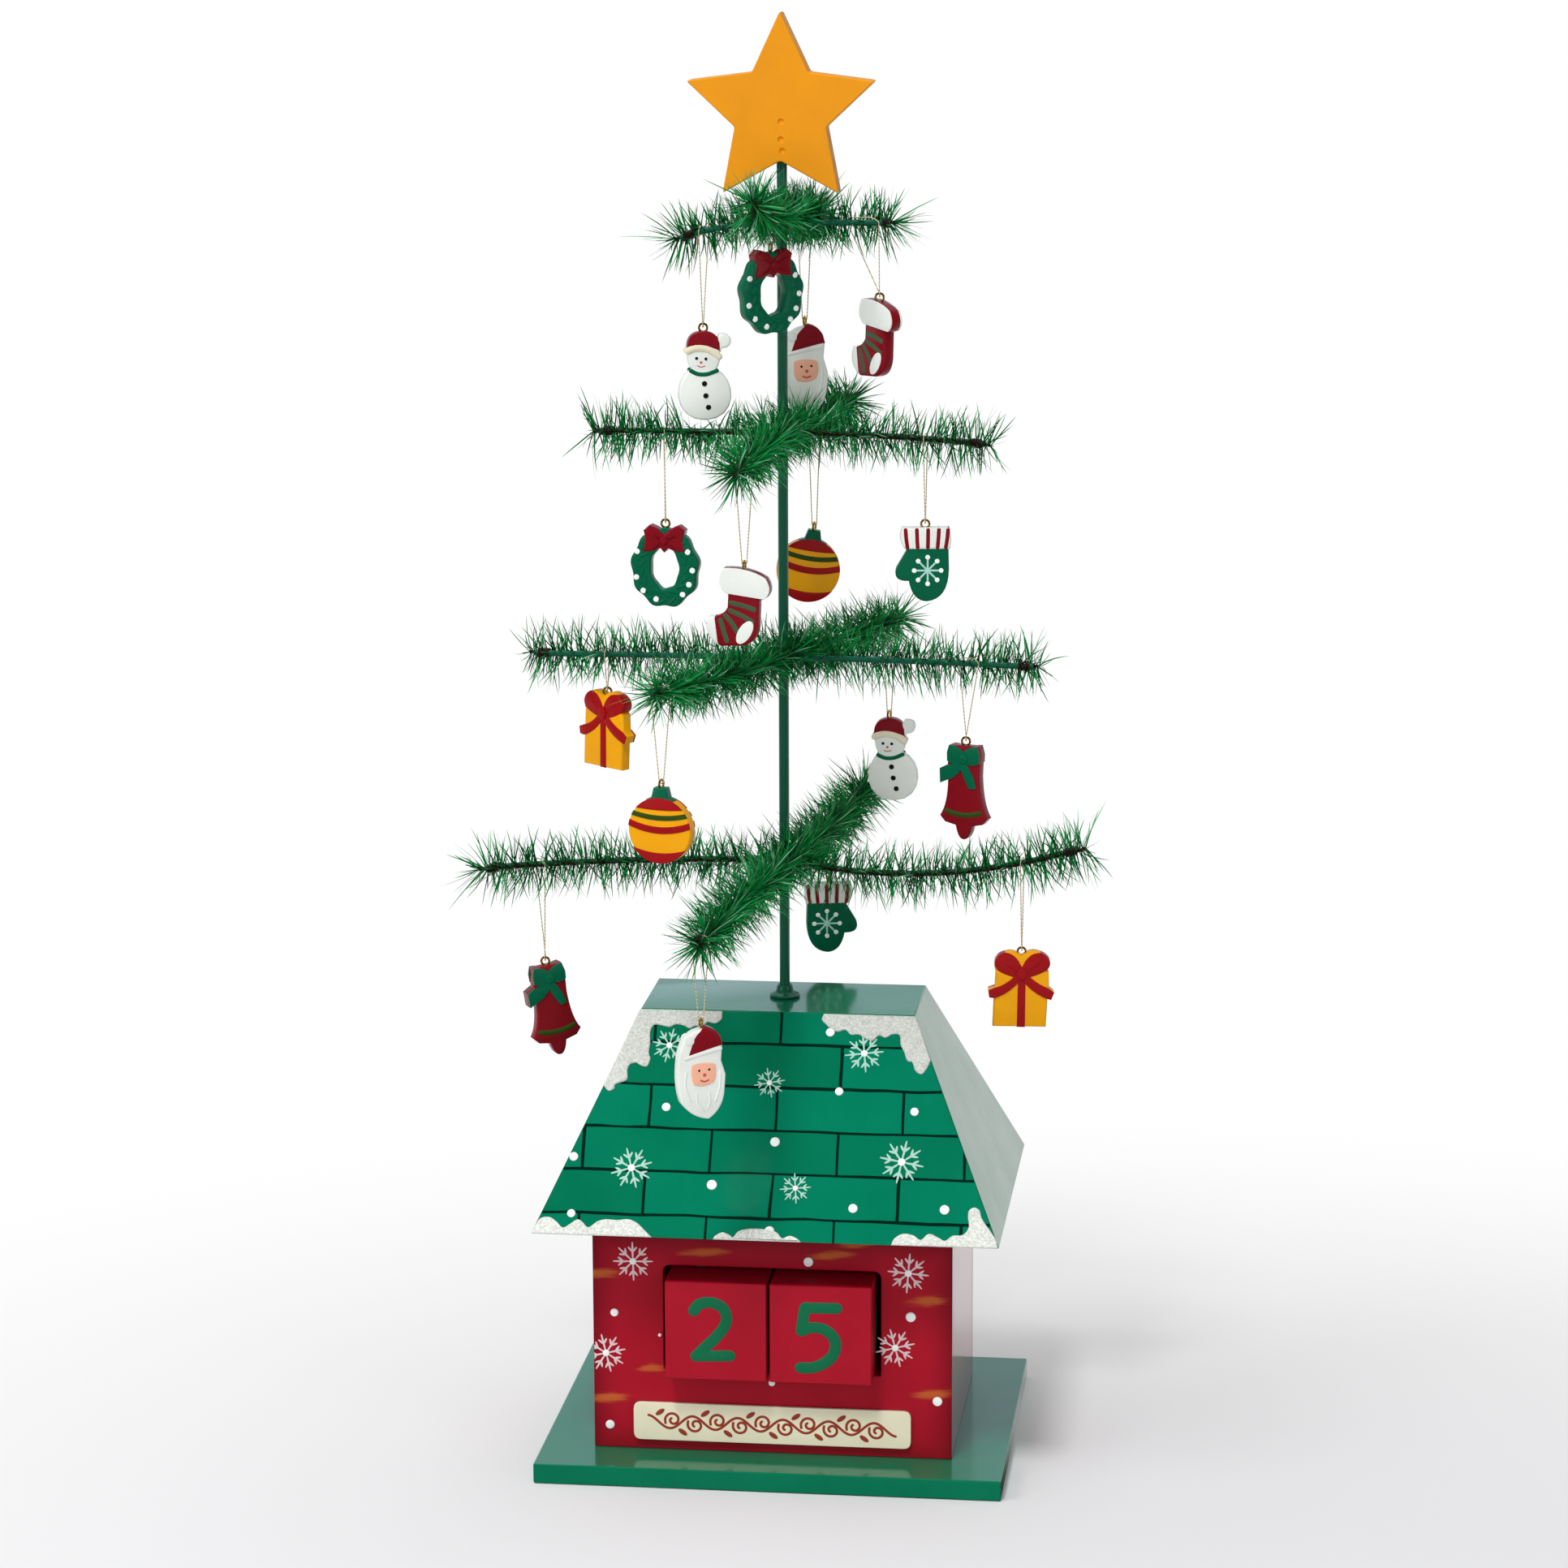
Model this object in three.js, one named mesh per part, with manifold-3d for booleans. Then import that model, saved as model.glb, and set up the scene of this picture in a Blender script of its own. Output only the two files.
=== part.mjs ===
import * as THREE from 'three';
import { ConvexGeometry } from 'three/addons/geometries/ConvexGeometry.js';
import { mergeVertices } from 'three/addons/utils/BufferGeometryUtils.js';
import Module from 'manifold-3d';

const wasm = await Module();
wasm.setup();

// Advent calendar: a painted wooden house with two number blocks, and a metal tree on its flat roof.
// Millimetres, +Z up, the front faces -Y, the origin is the centre of the base board's underside.

// Fit between pieces that touch
const fitGap = 0.3;

// Number blocks
const blockSide = 40;
const blockSpacing = 1.2;
const blockProud = 13;

// Base board
const baseWidth = 184;
const baseDepth = 148;
const baseThickness = 8;

// House walls and the recess for the blocks
const houseWidth = 142;
const houseDepth = 103;
const houseHeight = 95;
const wallThickness = 6;
const recessFloorHeight = 33.5;
const recessSideRoom = 2.4;
const recessHeadRoom = 2.2;
const recessCornerRadius = 3;
const trayWall = 3;

// Sign plaque on the front wall
const plaqueWidth = 110;
const plaqueHeight = 15.5;
const plaqueThickness = 1.6;
const plaqueCornerRadius = 3;
const plaqueAboveBase = 4.3;

// Roof boards
const roofForward = 5;
const roofWidth = 182;
const roofDepth = 143;
const roofHeight = 79;
const roofTopWidth = 108;
const roofTopDepth = 48;
const roofBoard = 5;
const soffitThickness = 4;
const roofCapThickness = 5;

// Trunk rod and the flange that holds it
const trunkRadius = 2;
const flangeRadius = 6;
const flangeThickness = 1.5;
const flangeNeckHeight = 3.5;
const flangeNeckWall = 0.9;
const flangeNeckFoot = 4;
const trunkSides = 12;

// Star on top of the trunk
const starSeatHeight = 330;
const starSocketDepth = 12;
const starOuterRadius = 37.5;
const starInnerRadius = 18.5;
const starThickness = 10;
const starTipRound = 1.5;
const starTipHalfWidth = 0.9;

// Arm rods, four to a tier, and the sleeve that carries them on the trunk
const armRadius = 1.2;
const armSteps = 6;
const sleeveWall = 1.1;
const sleeveHeight = 8;

// Needle garland: a twisted wire beside each rod
const wireRadius = 0.9;
const wireOverhang = 3;
const bindRadius = 0.6;
const bindSetback = 1.2;
const bindSides = 4;
const ringSteps = 8;
const hubRun = 7;
const hubStations = [-3, 2, 5];
const settledRun = 16;
const needleLength = 13;
const needlePitch = 7.5;
const needleBase = 0.7;
const needleSplay = THREE.MathUtils.degToRad(32);
const needleSideSplay = THREE.MathUtils.degToRad(74);
const needleLean = 0.35;
const tipLean = 1.1;
const needleClearance = 0.6;
const needleSamples = 12;

// Ornaments and the thread loops that hang them
const ornamentThickness = 5;
const eyeRadius = 1.6;
const eyeWire = 0.45;
const eyeSink = 0.6;
const eyeSides = 5;
const threadRadius = 0.35;
const threadSides = 5;
const threadRoom = 0.55;
const swingLimit = THREE.MathUtils.degToRad(20);

// How far each tier's rods lie below the star's seat
const tierDrops = { tier1: 24, tier2: 105, tier3: 193.5, tier4: 274.5 };

// Tiers whose left and right wires run behind the rods, not in front of them
const tiersWithWireBehind = ['tier1', 'tier3'];

// Length of each arm from the trunk's axis to its end
const armLengths = {
  tier1_left: 39, tier1_right: 41, tier1_front: 39, tier1_back: 39,
  tier2_left: 71, tier2_right: 78, tier2_front: 75, tier2_back: 75,
  tier3_left: 98, tier3_right: 97, tier3_front: 101, tier3_back: 98,
  tier4_left: 119, tier4_right: 116, tier4_front: 122, tier4_back: 120,
};

// How far the end of each arm lies above its tier's height
const armRises = {
  tier1_left: -6, tier1_right: 0, tier1_front: 10, tier1_back: 0,
  tier2_left: 0, tier2_right: -3.5, tier2_front: -5, tier2_back: 3,
  tier3_left: 0, tier3_right: -2, tier3_front: 3, tier3_back: 0,
  tier4_left: -6, tier4_right: 7, tier4_front: -5, tier4_back: 4,
};

// How far the middle of a bent arm sags below a straight one
const armSags = { tier4_right: 5.8 };

// Heading of each arm in degrees, seen from above and counted from the right
const armHeadings = {
  tier1_left: 180, tier1_right: 0, tier1_front: 258, tier1_back: 80,
  tier2_left: 180, tier2_right: 0, tier2_front: 262, tier2_back: 78,
  tier3_left: 180, tier3_right: 0, tier3_front: 248, tier3_back: 70,
  tier4_left: 180, tier4_right: 0, tier4_front: 261, tier4_back: 81.5,
};

// The ornament that each arm carries
const ornamentOfArm = {
  tier1_left: 'snowman', tier1_right: 'stocking', tier1_front: 'wreath', tier1_back: 'santa',
  tier2_left: 'wreath', tier2_right: 'mitten', tier2_front: 'stocking', tier2_back: 'ball',
  tier3_left: 'gift', tier3_right: 'bell', tier3_front: 'ball', tier3_back: 'snowman',
  tier4_left: 'bell', tier4_right: 'gift', tier4_front: 'santa', tier4_back: 'mitten',
};

// How far out along its arm each ornament hangs
const hangRuns = {
  tier1_left: 31, tier1_right: 37.5, tier1_front: 17, tier1_back: 26.5,
  tier2_left: 46, tier2_right: 55.5, tier2_front: 61, tier2_back: 35,
  tier3_left: 70, tier3_right: 71.5, tier3_front: 97, tier3_back: 93.5,
  tier4_left: 96, tier4_right: 94, tier4_front: 118, tier4_back: 64,
};

// How far the seat of each ornament's screw eye lies below the arm
const hangDrops = {
  tier1_left: 38.5, tier1_right: 30, tier1_front: 11.5, tier1_back: 42,
  tier2_left: 37.5, tier2_right: 34.5, tier2_front: 40.5, tier2_back: 44,
  tier3_left: 16.5, tier3_right: 32.5, tier3_front: 36.5, tier3_back: 40.5,
  tier4_left: 41, tier4_right: 37, tier4_front: 33, tier4_back: 25,
};

// How each ornament is turned from facing the front, in degrees
const ornamentTurns = {
  tier1_left: 15, tier1_right: -45, tier1_front: 40, tier1_back: 12,
  tier2_left: -8, tier2_right: 7, tier2_front: -6, tier2_back: 8,
  tier3_left: -36, tier3_right: -20, tier3_front: -14, tier3_back: 0,
  tier4_left: 30, tier4_right: 7, tier4_front: 24, tier4_back: 192,
};

// How some ornaments lean sideways, in degrees
const ornamentTilts = { tier2_back: -9, tier3_back: 3, tier4_left: 8 };

// Values that follow from the driving dimensions
const houseFrontY = -houseDepth / 2;
const wallTopZ = baseThickness + houseHeight;
const recessFloorZ = baseThickness + recessFloorHeight;
const recessWidth = 2 * blockSide + blockSpacing + 2 * recessSideRoom;
const recessHeight = fitGap + blockSide + recessHeadRoom;
const blockBackY = houseFrontY - blockProud + blockSide;
const trunkY = -roofForward;
const roofTopZ = wallTopZ + roofHeight;
const boreRadius = trunkRadius + fitGap;
const sleeveRadius = boreRadius + sleeveWall;
const wireOffset = armRadius + fitGap + wireRadius;
const hubOffset = sleeveRadius + fitGap + wireRadius;
const starSeatZ = roofTopZ + starSeatHeight;
const starCentreZ = starSeatZ + starInnerRadius;
const eyeHeight = 2 * eyeRadius + eyeWire - eyeSink;

// The arms, one entry each, and the height of each tier
const arms = Object.keys(armLengths).map((name) => {
  const [tier, side] = name.split('_');
  return {
    tier,
    side,
    z: starSeatZ - tierDrops[tier],
    heading: armHeadings[name],
    length: armLengths[name],
    rise: armRises[name],
    sag: armSags[name] ?? 0,
    kind: ornamentOfArm[name],
    along: hangRuns[name],
    drop: hangDrops[name],
    turn: ornamentTurns[name],
    tilt: ornamentTilts[name] ?? 0,
  };
});

// Colours and finishes
const paints = {
  green: { color: 0x007a53, roughness: 0.3, metalness: 0 },
  crimson: { color: 0xa51428, roughness: 0.3, metalness: 0 },
  cream: { color: 0xe9e4c8, roughness: 0.5, metalness: 0 },
  gold: { color: 0xee9c10, roughness: 0.45, metalness: 0 },
  white: { color: 0xdce2de, roughness: 0.5, metalness: 0 },
  rod: { color: 0x004a30, roughness: 0.4, metalness: 0.6 },
  needle: { color: 0x0a7a3a, roughness: 0.6, metalness: 0 },
  thread: { color: 0xd8c890, roughness: 0.7, metalness: 0.2 },
};

const calendar = new THREE.Group();

// Adds one named piece to a group
function addPiece(group, name, geometry, paint) {
  const mesh = new THREE.Mesh(geometry, new THREE.MeshStandardMaterial(paints[paint]));
  mesh.name = name;
  group.add(mesh);
  return mesh;
}

// Turns a closed geometry into a solid that can be joined and cut
function toSolid(geometry) {
  const bare = geometry.clone();
  bare.deleteAttribute('normal');
  bare.deleteAttribute('uv');
  const merged = mergeVertices(bare, 1e-5);
  return new wasm.Manifold(new wasm.Mesh({
    numProp: 3,
    vertProperties: new Float32Array(merged.attributes.position.array),
    triVerts: new Uint32Array(merged.index.array),
  }));
}

// Turns a solid back into a geometry
function toGeometry(solid) {
  const result = solid.getMesh();
  const geometry = new THREE.BufferGeometry();
  geometry.setAttribute('position', new THREE.BufferAttribute(result.vertProperties, result.numProp));
  geometry.setIndex(new THREE.BufferAttribute(result.triVerts, 1));
  geometry.computeVertexNormals();
  return geometry;
}

function joined(geometries) {
  return toGeometry(geometries.map(toSolid).reduce((whole, solid) => whole.add(solid)));
}

function cut(geometry, tool) {
  return toGeometry(toSolid(geometry).subtract(toSolid(tool)));
}

// A box between two corners
function boxBetween(low, high) {
  const size = high.map((value, i) => value - low[i]);
  const box = new THREE.BoxGeometry(...size);
  return box.translate(...low.map((value, i) => value + size[i] / 2));
}

// An outline in X and Z, extruded along Y from frontY to backY
function uprightPlate(shape, frontY, backY, curveSegments = 4) {
  const settings = { depth: backY - frontY, bevelEnabled: false, curveSegments };
  const plate = new THREE.ExtrudeGeometry(shape, settings);
  plate.rotateX(Math.PI / 2);
  return plate.translate(0, backY, 0);
}

function roundedRectangle(target, x0, y0, x1, y1, lowRadius, highRadius) {
  target.moveTo(x0 + lowRadius, y0);
  target.lineTo(x1 - lowRadius, y0);
  if (lowRadius > 0) target.quadraticCurveTo(x1, y0, x1, y0 + lowRadius);
  target.lineTo(x1, y1 - highRadius);
  if (highRadius > 0) target.quadraticCurveTo(x1, y1, x1 - highRadius, y1);
  target.lineTo(x0 + highRadius, y1);
  if (highRadius > 0) target.quadraticCurveTo(x0, y1, x0, y1 - highRadius);
  target.lineTo(x0, y0 + lowRadius);
  if (lowRadius > 0) target.quadraticCurveTo(x0, y0, x0 + lowRadius, y0);
  return target;
}

// A ring turned about the trunk's axis, from a profile of [radius, height] points
function turnedRing(profile, z) {
  const points = [...profile, profile[0]].map(([r, h]) => new THREE.Vector2(r, h));
  const ring = new THREE.LatheGeometry(points, trunkSides);
  ring.rotateX(Math.PI / 2);
  return ring.translate(0, trunkY, z);
}

// House: base board, four walls, the tray behind the recess and the plaque

function addWalls() {
  const bottom = baseThickness + fitGap;
  const top = wallTopZ - fitGap;
  const halfWidth = houseWidth / 2;
  const halfDepth = houseDepth / 2;
  const inner = halfDepth - wallThickness - fitGap;

  const front = roundedRectangle(new THREE.Shape(), -halfWidth, bottom, halfWidth, top, 0, 0);
  const windowTop = recessFloorZ + recessHeight;
  front.holes.push(roundedRectangle(
    new THREE.Path(), -recessWidth / 2, recessFloorZ, recessWidth / 2, windowTop, 0, recessCornerRadius));
  addPiece(calendar, 'front_wall', uprightPlate(front, -halfDepth, wallThickness - halfDepth), 'crimson');

  const back = boxBetween([-halfWidth, halfDepth - wallThickness, bottom], [halfWidth, halfDepth, top]);
  addPiece(calendar, 'back_wall', back, 'crimson');
  const left = boxBetween([-halfWidth, -inner, bottom], [wallThickness - halfWidth, inner, top]);
  addPiece(calendar, 'left_wall', left, 'crimson');
  const right = boxBetween([halfWidth - wallThickness, -inner, bottom], [halfWidth, inner, top]);
  addPiece(calendar, 'right_wall', right, 'crimson');
}

function addBlockTray() {
  const frontY = houseFrontY + wallThickness + fitGap;
  const backY = blockBackY + fitGap;
  const half = recessWidth / 2;
  const top = recessFloorZ + recessHeight;
  const outer = boxBetween(
    [-half - trayWall, frontY, recessFloorZ - trayWall], [half + trayWall, backY + trayWall, top + trayWall]);
  const inside = boxBetween([-half, frontY - trayWall, recessFloorZ], [half, backY, top]);
  addPiece(calendar, 'block_tray', cut(outer, inside), 'crimson');
}

function addPlaque() {
  const bottom = baseThickness + plaqueAboveBase;
  const backY = houseFrontY - fitGap;
  const shape = roundedRectangle(new THREE.Shape(), -plaqueWidth / 2, bottom, plaqueWidth / 2,
    bottom + plaqueHeight, plaqueCornerRadius, plaqueCornerRadius);
  addPiece(calendar, 'sign_plaque', uprightPlate(shape, backY - plaqueThickness, backY), 'cream');
}

function addBlocks() {
  const frontY = houseFrontY - blockProud;
  const bottom = recessFloorZ + fitGap;
  [['number_block_left', -1], ['number_block_right', 1]].forEach(([name, side]) => {
    const block = new THREE.BoxGeometry(blockSide, blockSide, blockSide);
    const mesh = addPiece(calendar, name, block, 'crimson');
    const x = side * (blockSpacing + blockSide) / 2;
    mesh.position.set(x, frontY + blockSide / 2, bottom + blockSide / 2);
  });
}

// Roof: four mitred sloping boards, the soffit under them and the cap that closes the top

function slopedBoard(name, turned) {
  const lowHalf = turned ? [roofDepth / 2, roofWidth / 2] : [roofWidth / 2, roofDepth / 2];
  const topHalf = turned ? [roofTopDepth / 2, roofTopWidth / 2] : [roofTopWidth / 2, roofTopDepth / 2];
  const run = lowHalf[1] - topHalf[1];
  const sideRun = lowHalf[0] - topHalf[0];
  const reach = roofBoard * Math.hypot(run, roofHeight) / roofHeight;
  const sideReach = roofBoard * Math.hypot(sideRun, roofHeight) / roofHeight;
  const corners = [];
  for (const side of [-1, 1]) {
    for (const [half, z] of [[lowHalf, 0], [topHalf, roofHeight]]) {
      corners.push(new THREE.Vector3(side * (half[0] - fitGap / 2), -half[1], z));
      corners.push(new THREE.Vector3(side * (half[0] - sideReach - fitGap / 2), reach - half[1], z));
    }
  }
  return addPiece(calendar, name, new ConvexGeometry(corners), 'green');
}

function addRoof() {
  ['roof_front', 'roof_right', 'roof_back', 'roof_left'].forEach((name, quarter) => {
    const board = slopedBoard(name, quarter % 2 === 1);
    board.rotation.z = quarter * Math.PI / 2;
    board.position.set(0, trunkY, wallTopZ);
  });
  addRoofPanel('roof_soffit', 0, soffitThickness);
  addRoofPanel('roof_cap', roofHeight - roofCapThickness, roofHeight);
}

// A flat panel between the sloping boards, from one height above the eave to another
function addRoofPanel(name, from, to) {
  const halves = [[roofWidth, roofTopWidth], [roofDepth, roofTopDepth]].map(([low, top]) => {
    const run = (low - top) / 2;
    const reach = roofBoard * Math.hypot(run, roofHeight) / roofHeight;
    return low / 2 - run * to / roofHeight - reach - fitGap;
  });
  const panel = boxBetween([-halves[0], -halves[1], from], [halves[0], halves[1], to]);
  addPiece(calendar, name, panel, 'green').position.set(0, trunkY, wallTopZ);
}

// Trunk, flange and star

function addTrunk() {
  const neckRadius = boreRadius + flangeNeckWall;
  const flangeTop = flangeThickness + flangeNeckHeight;
  const flange = turnedRing([
    [boreRadius, 0], [flangeRadius, 0], [flangeRadius, flangeThickness],
    [flangeNeckFoot, flangeThickness], [neckRadius, flangeTop], [boreRadius, flangeTop],
  ], roofTopZ + fitGap);
  addPiece(calendar, 'trunk_flange', flange, 'rod');

  const bottom = roofTopZ + fitGap;
  const top = starSeatZ + starSocketDepth - fitGap;
  const rod = new THREE.CylinderGeometry(trunkRadius, trunkRadius, top - bottom, trunkSides);
  rod.rotateX(Math.PI / 2);
  addPiece(calendar, 'trunk_rod', rod, 'rod').position.set(0, trunkY, (top + bottom) / 2);
}

function starOutline() {
  const shape = new THREE.Shape();
  for (let i = 0; i < 10; i += 1) {
    const angle = Math.PI / 2 + i * Math.PI / 5;
    const along = new THREE.Vector2(Math.cos(angle), Math.sin(angle));
    if (i % 2 === 1) {
      shape.lineTo(along.x * starInnerRadius, along.y * starInnerRadius);
    } else {
      const across = new THREE.Vector2(-along.y, along.x).multiplyScalar(starTipHalfWidth);
      const shoulder = along.clone().multiplyScalar(starOuterRadius - starTipRound);
      const first = [shoulder.x - across.x, shoulder.y - across.y];
      if (i === 0) shape.moveTo(...first);
      else shape.lineTo(...first);
      shape.quadraticCurveTo(
        along.x * starOuterRadius, along.y * starOuterRadius, shoulder.x + across.x, shoulder.y + across.y);
    }
  }
  shape.closePath();
  return shape;
}

function addStar() {
  const star = uprightPlate(starOutline(), -starThickness / 2, starThickness / 2, 2);
  const socket = new THREE.CylinderGeometry(boreRadius, boreRadius, 2 * starSocketDepth, trunkSides);
  socket.rotateX(Math.PI / 2);
  socket.translate(0, 0, -starInnerRadius);
  addPiece(calendar, 'star', cut(star, socket), 'gold').position.set(0, trunkY, starCentreZ);
}

// Arms

// Directions of an arm seen from above
function armAxis(arm) {
  const angle = THREE.MathUtils.degToRad(arm.heading);
  return new THREE.Vector3(Math.cos(angle), Math.sin(angle), 0);
}

// 1 where the garland's wire runs to the left of an arm's rod, seen outwards along the arm, else -1
function wireTurn(arm) {
  const isCross = arm.side === 'left' || arm.side === 'right';
  const isSwapped = isCross && tiersWithWireBehind.includes(arm.tier);
  const isLeft = arm.side === 'left' || arm.side === 'front';
  return isLeft === isSwapped ? -1 : 1;
}

// The direction from an arm's rod to the wire beside it
function wireSide(arm) {
  const axis = armAxis(arm);
  return new THREE.Vector3(-axis.y, axis.x, 0).multiplyScalar(wireTurn(arm));
}

// A point on the centre line of an arm's rod
function armPoint(arm, run) {
  const share = run / arm.length;
  const z = arm.z + arm.rise * share * share - 4 * arm.sag * share * (1 - share);
  return armAxis(arm).multiplyScalar(run).add(new THREE.Vector3(0, trunkY, z));
}

// A point on the centre line of the wire that runs beside the rod and passes over it near the trunk
function wirePoint(arm, run) {
  const settled = THREE.MathUtils.smoothstep(run, hubRun, settledRun);
  const sideways = THREE.MathUtils.lerp(hubOffset, wireOffset, settled);
  const lift = (1 - settled) * wireOffset;
  const point = armPoint(arm, run).addScaledVector(wireSide(arm), sideways);
  point.z += lift;
  return point;
}

function addArmCross(tier) {
  const own = arms.filter((arm) => arm.tier === tier);
  const section = new THREE.Shape();
  section.absarc(0, 0, armRadius, 0, 2 * Math.PI);
  const rods = own.map((arm) => {
    const start = boreRadius + sleeveWall / 2;
    const runs = Array.from({ length: armSteps + 1 }, (_, i) => start + (arm.length - start) * i / armSteps);
    const path = new THREE.CatmullRomCurve3(runs.map((run) => armPoint(arm, run)));
    return new THREE.ExtrudeGeometry(section, { extrudePath: path, steps: armSteps, curveSegments: 6 });
  });
  const half = sleeveHeight / 2;
  const sleeve = turnedRing(
    [[boreRadius, -half], [sleeveRadius, -half], [sleeveRadius, half], [boreRadius, half]],
    own[0].z);
  addPiece(calendar, `${tier}_arm_rods`, joined([sleeve, ...rods]), 'rod');
}

// Garlands: one wire runs from the left arm to the right, one from the front to the back, and they
// are twisted together where they cross. Needles grow from short slices of each wire.

// Where an ornament hangs: the middle of the rod and wire that its thread goes over
function hangPoint(arm) {
  const middle = (wireOffset + wireRadius - armRadius) / 2;
  return armPoint(arm, arm.along).addScaledVector(wireSide(arm), middle);
}

// How far an ornament reaches along its arm and across it, and the depth of its lowest point
function ornamentReach(arm) {
  const [width, height] = ornamentSizes[arm.kind];
  const angle = THREE.MathUtils.degToRad(arm.turn - arm.heading);
  const c = Math.abs(Math.cos(angle));
  const s = Math.abs(Math.sin(angle));
  const sway = height * Math.abs(Math.sin(THREE.MathUtils.degToRad(arm.tilt)));
  const along = (width + sway) / 2 * c + ornamentThickness / 2 * s;
  const across = (width + sway) / 2 * s + ornamentThickness / 2 * c;
  return { along, across, low: Math.hypot(arm.drop + height, across) };
}

// Tells whether a point lies in the space that an ornament and its thread swing through
function inSwingSpace(point, arm) {
  const axis = armAxis(arm);
  const offset = point.clone().sub(hangPoint(arm));
  const along = Math.abs(offset.dot(axis));
  const reach = ornamentReach(arm);
  if (along > reach.along + needleClearance) return false;
  const down = -offset.z;
  const across = Math.abs(offset.dot(new THREE.Vector3(-axis.y, axis.x, 0)));
  const depth = Math.hypot(down, across);
  if (depth > reach.low + needleClearance) return false;
  const atThread = depth < arm.drop - eyeHeight - needleClearance;
  if (atThread && along > threadRadius + needleClearance) return false;
  const half = (atThread ? wireOffset + armRadius : reach.across) + needleClearance;
  return depth < half || Math.atan2(across, down) < swingLimit + Math.asin(half / depth);
}

function needleIsClear(root, tip) {
  for (let i = 1; i <= needleSamples; i += 1) {
    const point = root.clone().lerp(tip, i / needleSamples);
    if (arms.some((arm) => inSwingSpace(point, arm))) return false;
  }
  return true;
}

// The stations of one arm's wire from the trunk outwards: bare ones, and pairs that hold needles
function wireStations(arm) {
  const stations = hubStations.map((offset) => ({ run: hubRun + offset, whorl: -1 }));
  let whorl = 0;
  for (let run = settledRun; run < arm.length - bindSetback - 2 * needleBase; run += needlePitch) {
    stations.push({ run: run - needleBase / 2, whorl });
    stations.push({ run: run + needleBase / 2, whorl: -1 });
    whorl += 1;
  }
  const end = arm.length + wireOverhang;
  stations.push({ run: end - needleBase, whorl: 'tip' });
  stations.push({ run: end, whorl: -1 });
  return stations;
}

// Needles of one slice: which face of the square wire each grows from, and its splay from upright.
// The third needle of a slice points away from the rod, whose side `away` tells.
function needlesOfWhorl(whorl, away) {
  if (whorl === 'tip') {
    return [0, 1, 2, 3].map((face) => ({ face, splay: needleSplay, lean: tipLean }));
  }
  const faces = whorl % 2 === 0 ? [0, 2] : [3, 1];
  const needles = faces.map((face) => ({ face, splay: needleSplay, lean: needleLean }));
  if (whorl % 3 === 0) {
    const [evenFace, oddFace] = away > 0 ? [1, 0] : [3, 2];
    const face = whorl % 2 === 0 ? evenFace : oddFace;
    needles.push({ face, splay: needleSideSplay, lean: needleLean });
  }
  return needles;
}

// Adds the ring of four points around one station and returns its frame
function addRing(points, station, next) {
  const forward = next.clone().sub(station).normalize();
  const side = new THREE.Vector3().crossVectors(forward, new THREE.Vector3(0, 0, 1)).normalize();
  const up = new THREE.Vector3().crossVectors(side, forward);
  for (const [u, s] of [[1, 0], [0, 1], [-1, 0], [0, -1]]) {
    const point = station.clone().addScaledVector(up, u * wireRadius).addScaledVector(side, s * wireRadius);
    points.push(point);
  }
  return { forward, side, up };
}

// The tip of a needle that grows from one face: faces 0 and 3 point up, faces 0 and 1 to the side
function needleTip(root, frame, needle, outward) {
  const upSign = needle.face === 0 || needle.face === 3 ? 1 : -1;
  const sideSign = needle.face < 2 ? 1 : -1;
  const direction = frame.up.clone().multiplyScalar(upSign * Math.cos(needle.splay));
  direction.addScaledVector(frame.side, sideSign * Math.sin(needle.splay));
  direction.addScaledVector(frame.forward, needle.lean * outward);
  return root.clone().addScaledVector(direction.normalize(), needleLength);
}

// One wire with its needles, from the end of the first arm to the end of the second
function needleWire(first, second) {
  const inner = wireStations(first).reverse().map(({ run }) => ({ arm: first, run, outward: -1 }));
  const outer = wireStations(second).map(({ run }) => ({ arm: second, run, outward: 1 }));
  const whorls = [...wireStations(first).reverse().map((_, i, all) => (all[i + 1] ? all[i + 1].whorl : -1)),
    ...wireStations(second).map(({ whorl }) => whorl)];
  const stations = [...inner, ...outer].map((entry, i) => ({
    ...entry, whorl: whorls[i], centre: wirePoint(entry.arm, entry.run),
  }));
  const points = [];
  const faces = [];
  const last = stations.length - 1;
  const away = wireTurn(first);
  const frames = stations.map((station, i) => {
    const before = stations[Math.max(i - 1, 0)].centre;
    const after = stations[Math.min(i + 1, last)].centre;
    return addRing(points, station.centre, station.centre.clone().add(after).sub(before));
  });
  for (let i = 0; i < last; i += 1) {
    const needles = stations[i].whorl === -1 ? [] : needlesOfWhorl(stations[i].whorl, away);
    const root = stations[i].centre.clone().lerp(stations[i + 1].centre, 0.5);
    for (let face = 0; face < 4; face += 1) {
      const [a, b] = [4 * i + face, 4 * i + (face + 1) % 4];
      const [c, d] = [b + 4, a + 4];
      const needle = needles.find((entry) => entry.face === face);
      const tip = needle && needleTip(root, frames[i], needle, stations[i].outward);
      if (tip && needleIsClear(root, tip)) {
        points.push(tip);
        const top = points.length - 1;
        faces.push([a, b, top], [b, c, top], [c, d, top], [d, a, top]);
      } else {
        faces.push([a, b, c], [a, c, d]);
      }
    }
  }
  faces.push([0, 2, 1], [0, 3, 2]);
  const end = 4 * last;
  faces.push([end, end + 1, end + 2], [end, end + 2, end + 3]);
  return closedGeometry(points, faces);
}

function closedGeometry(points, faces) {
  const geometry = new THREE.BufferGeometry().setFromPoints(points);
  geometry.setIndex(faces.flat());
  return geometry;
}

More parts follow.
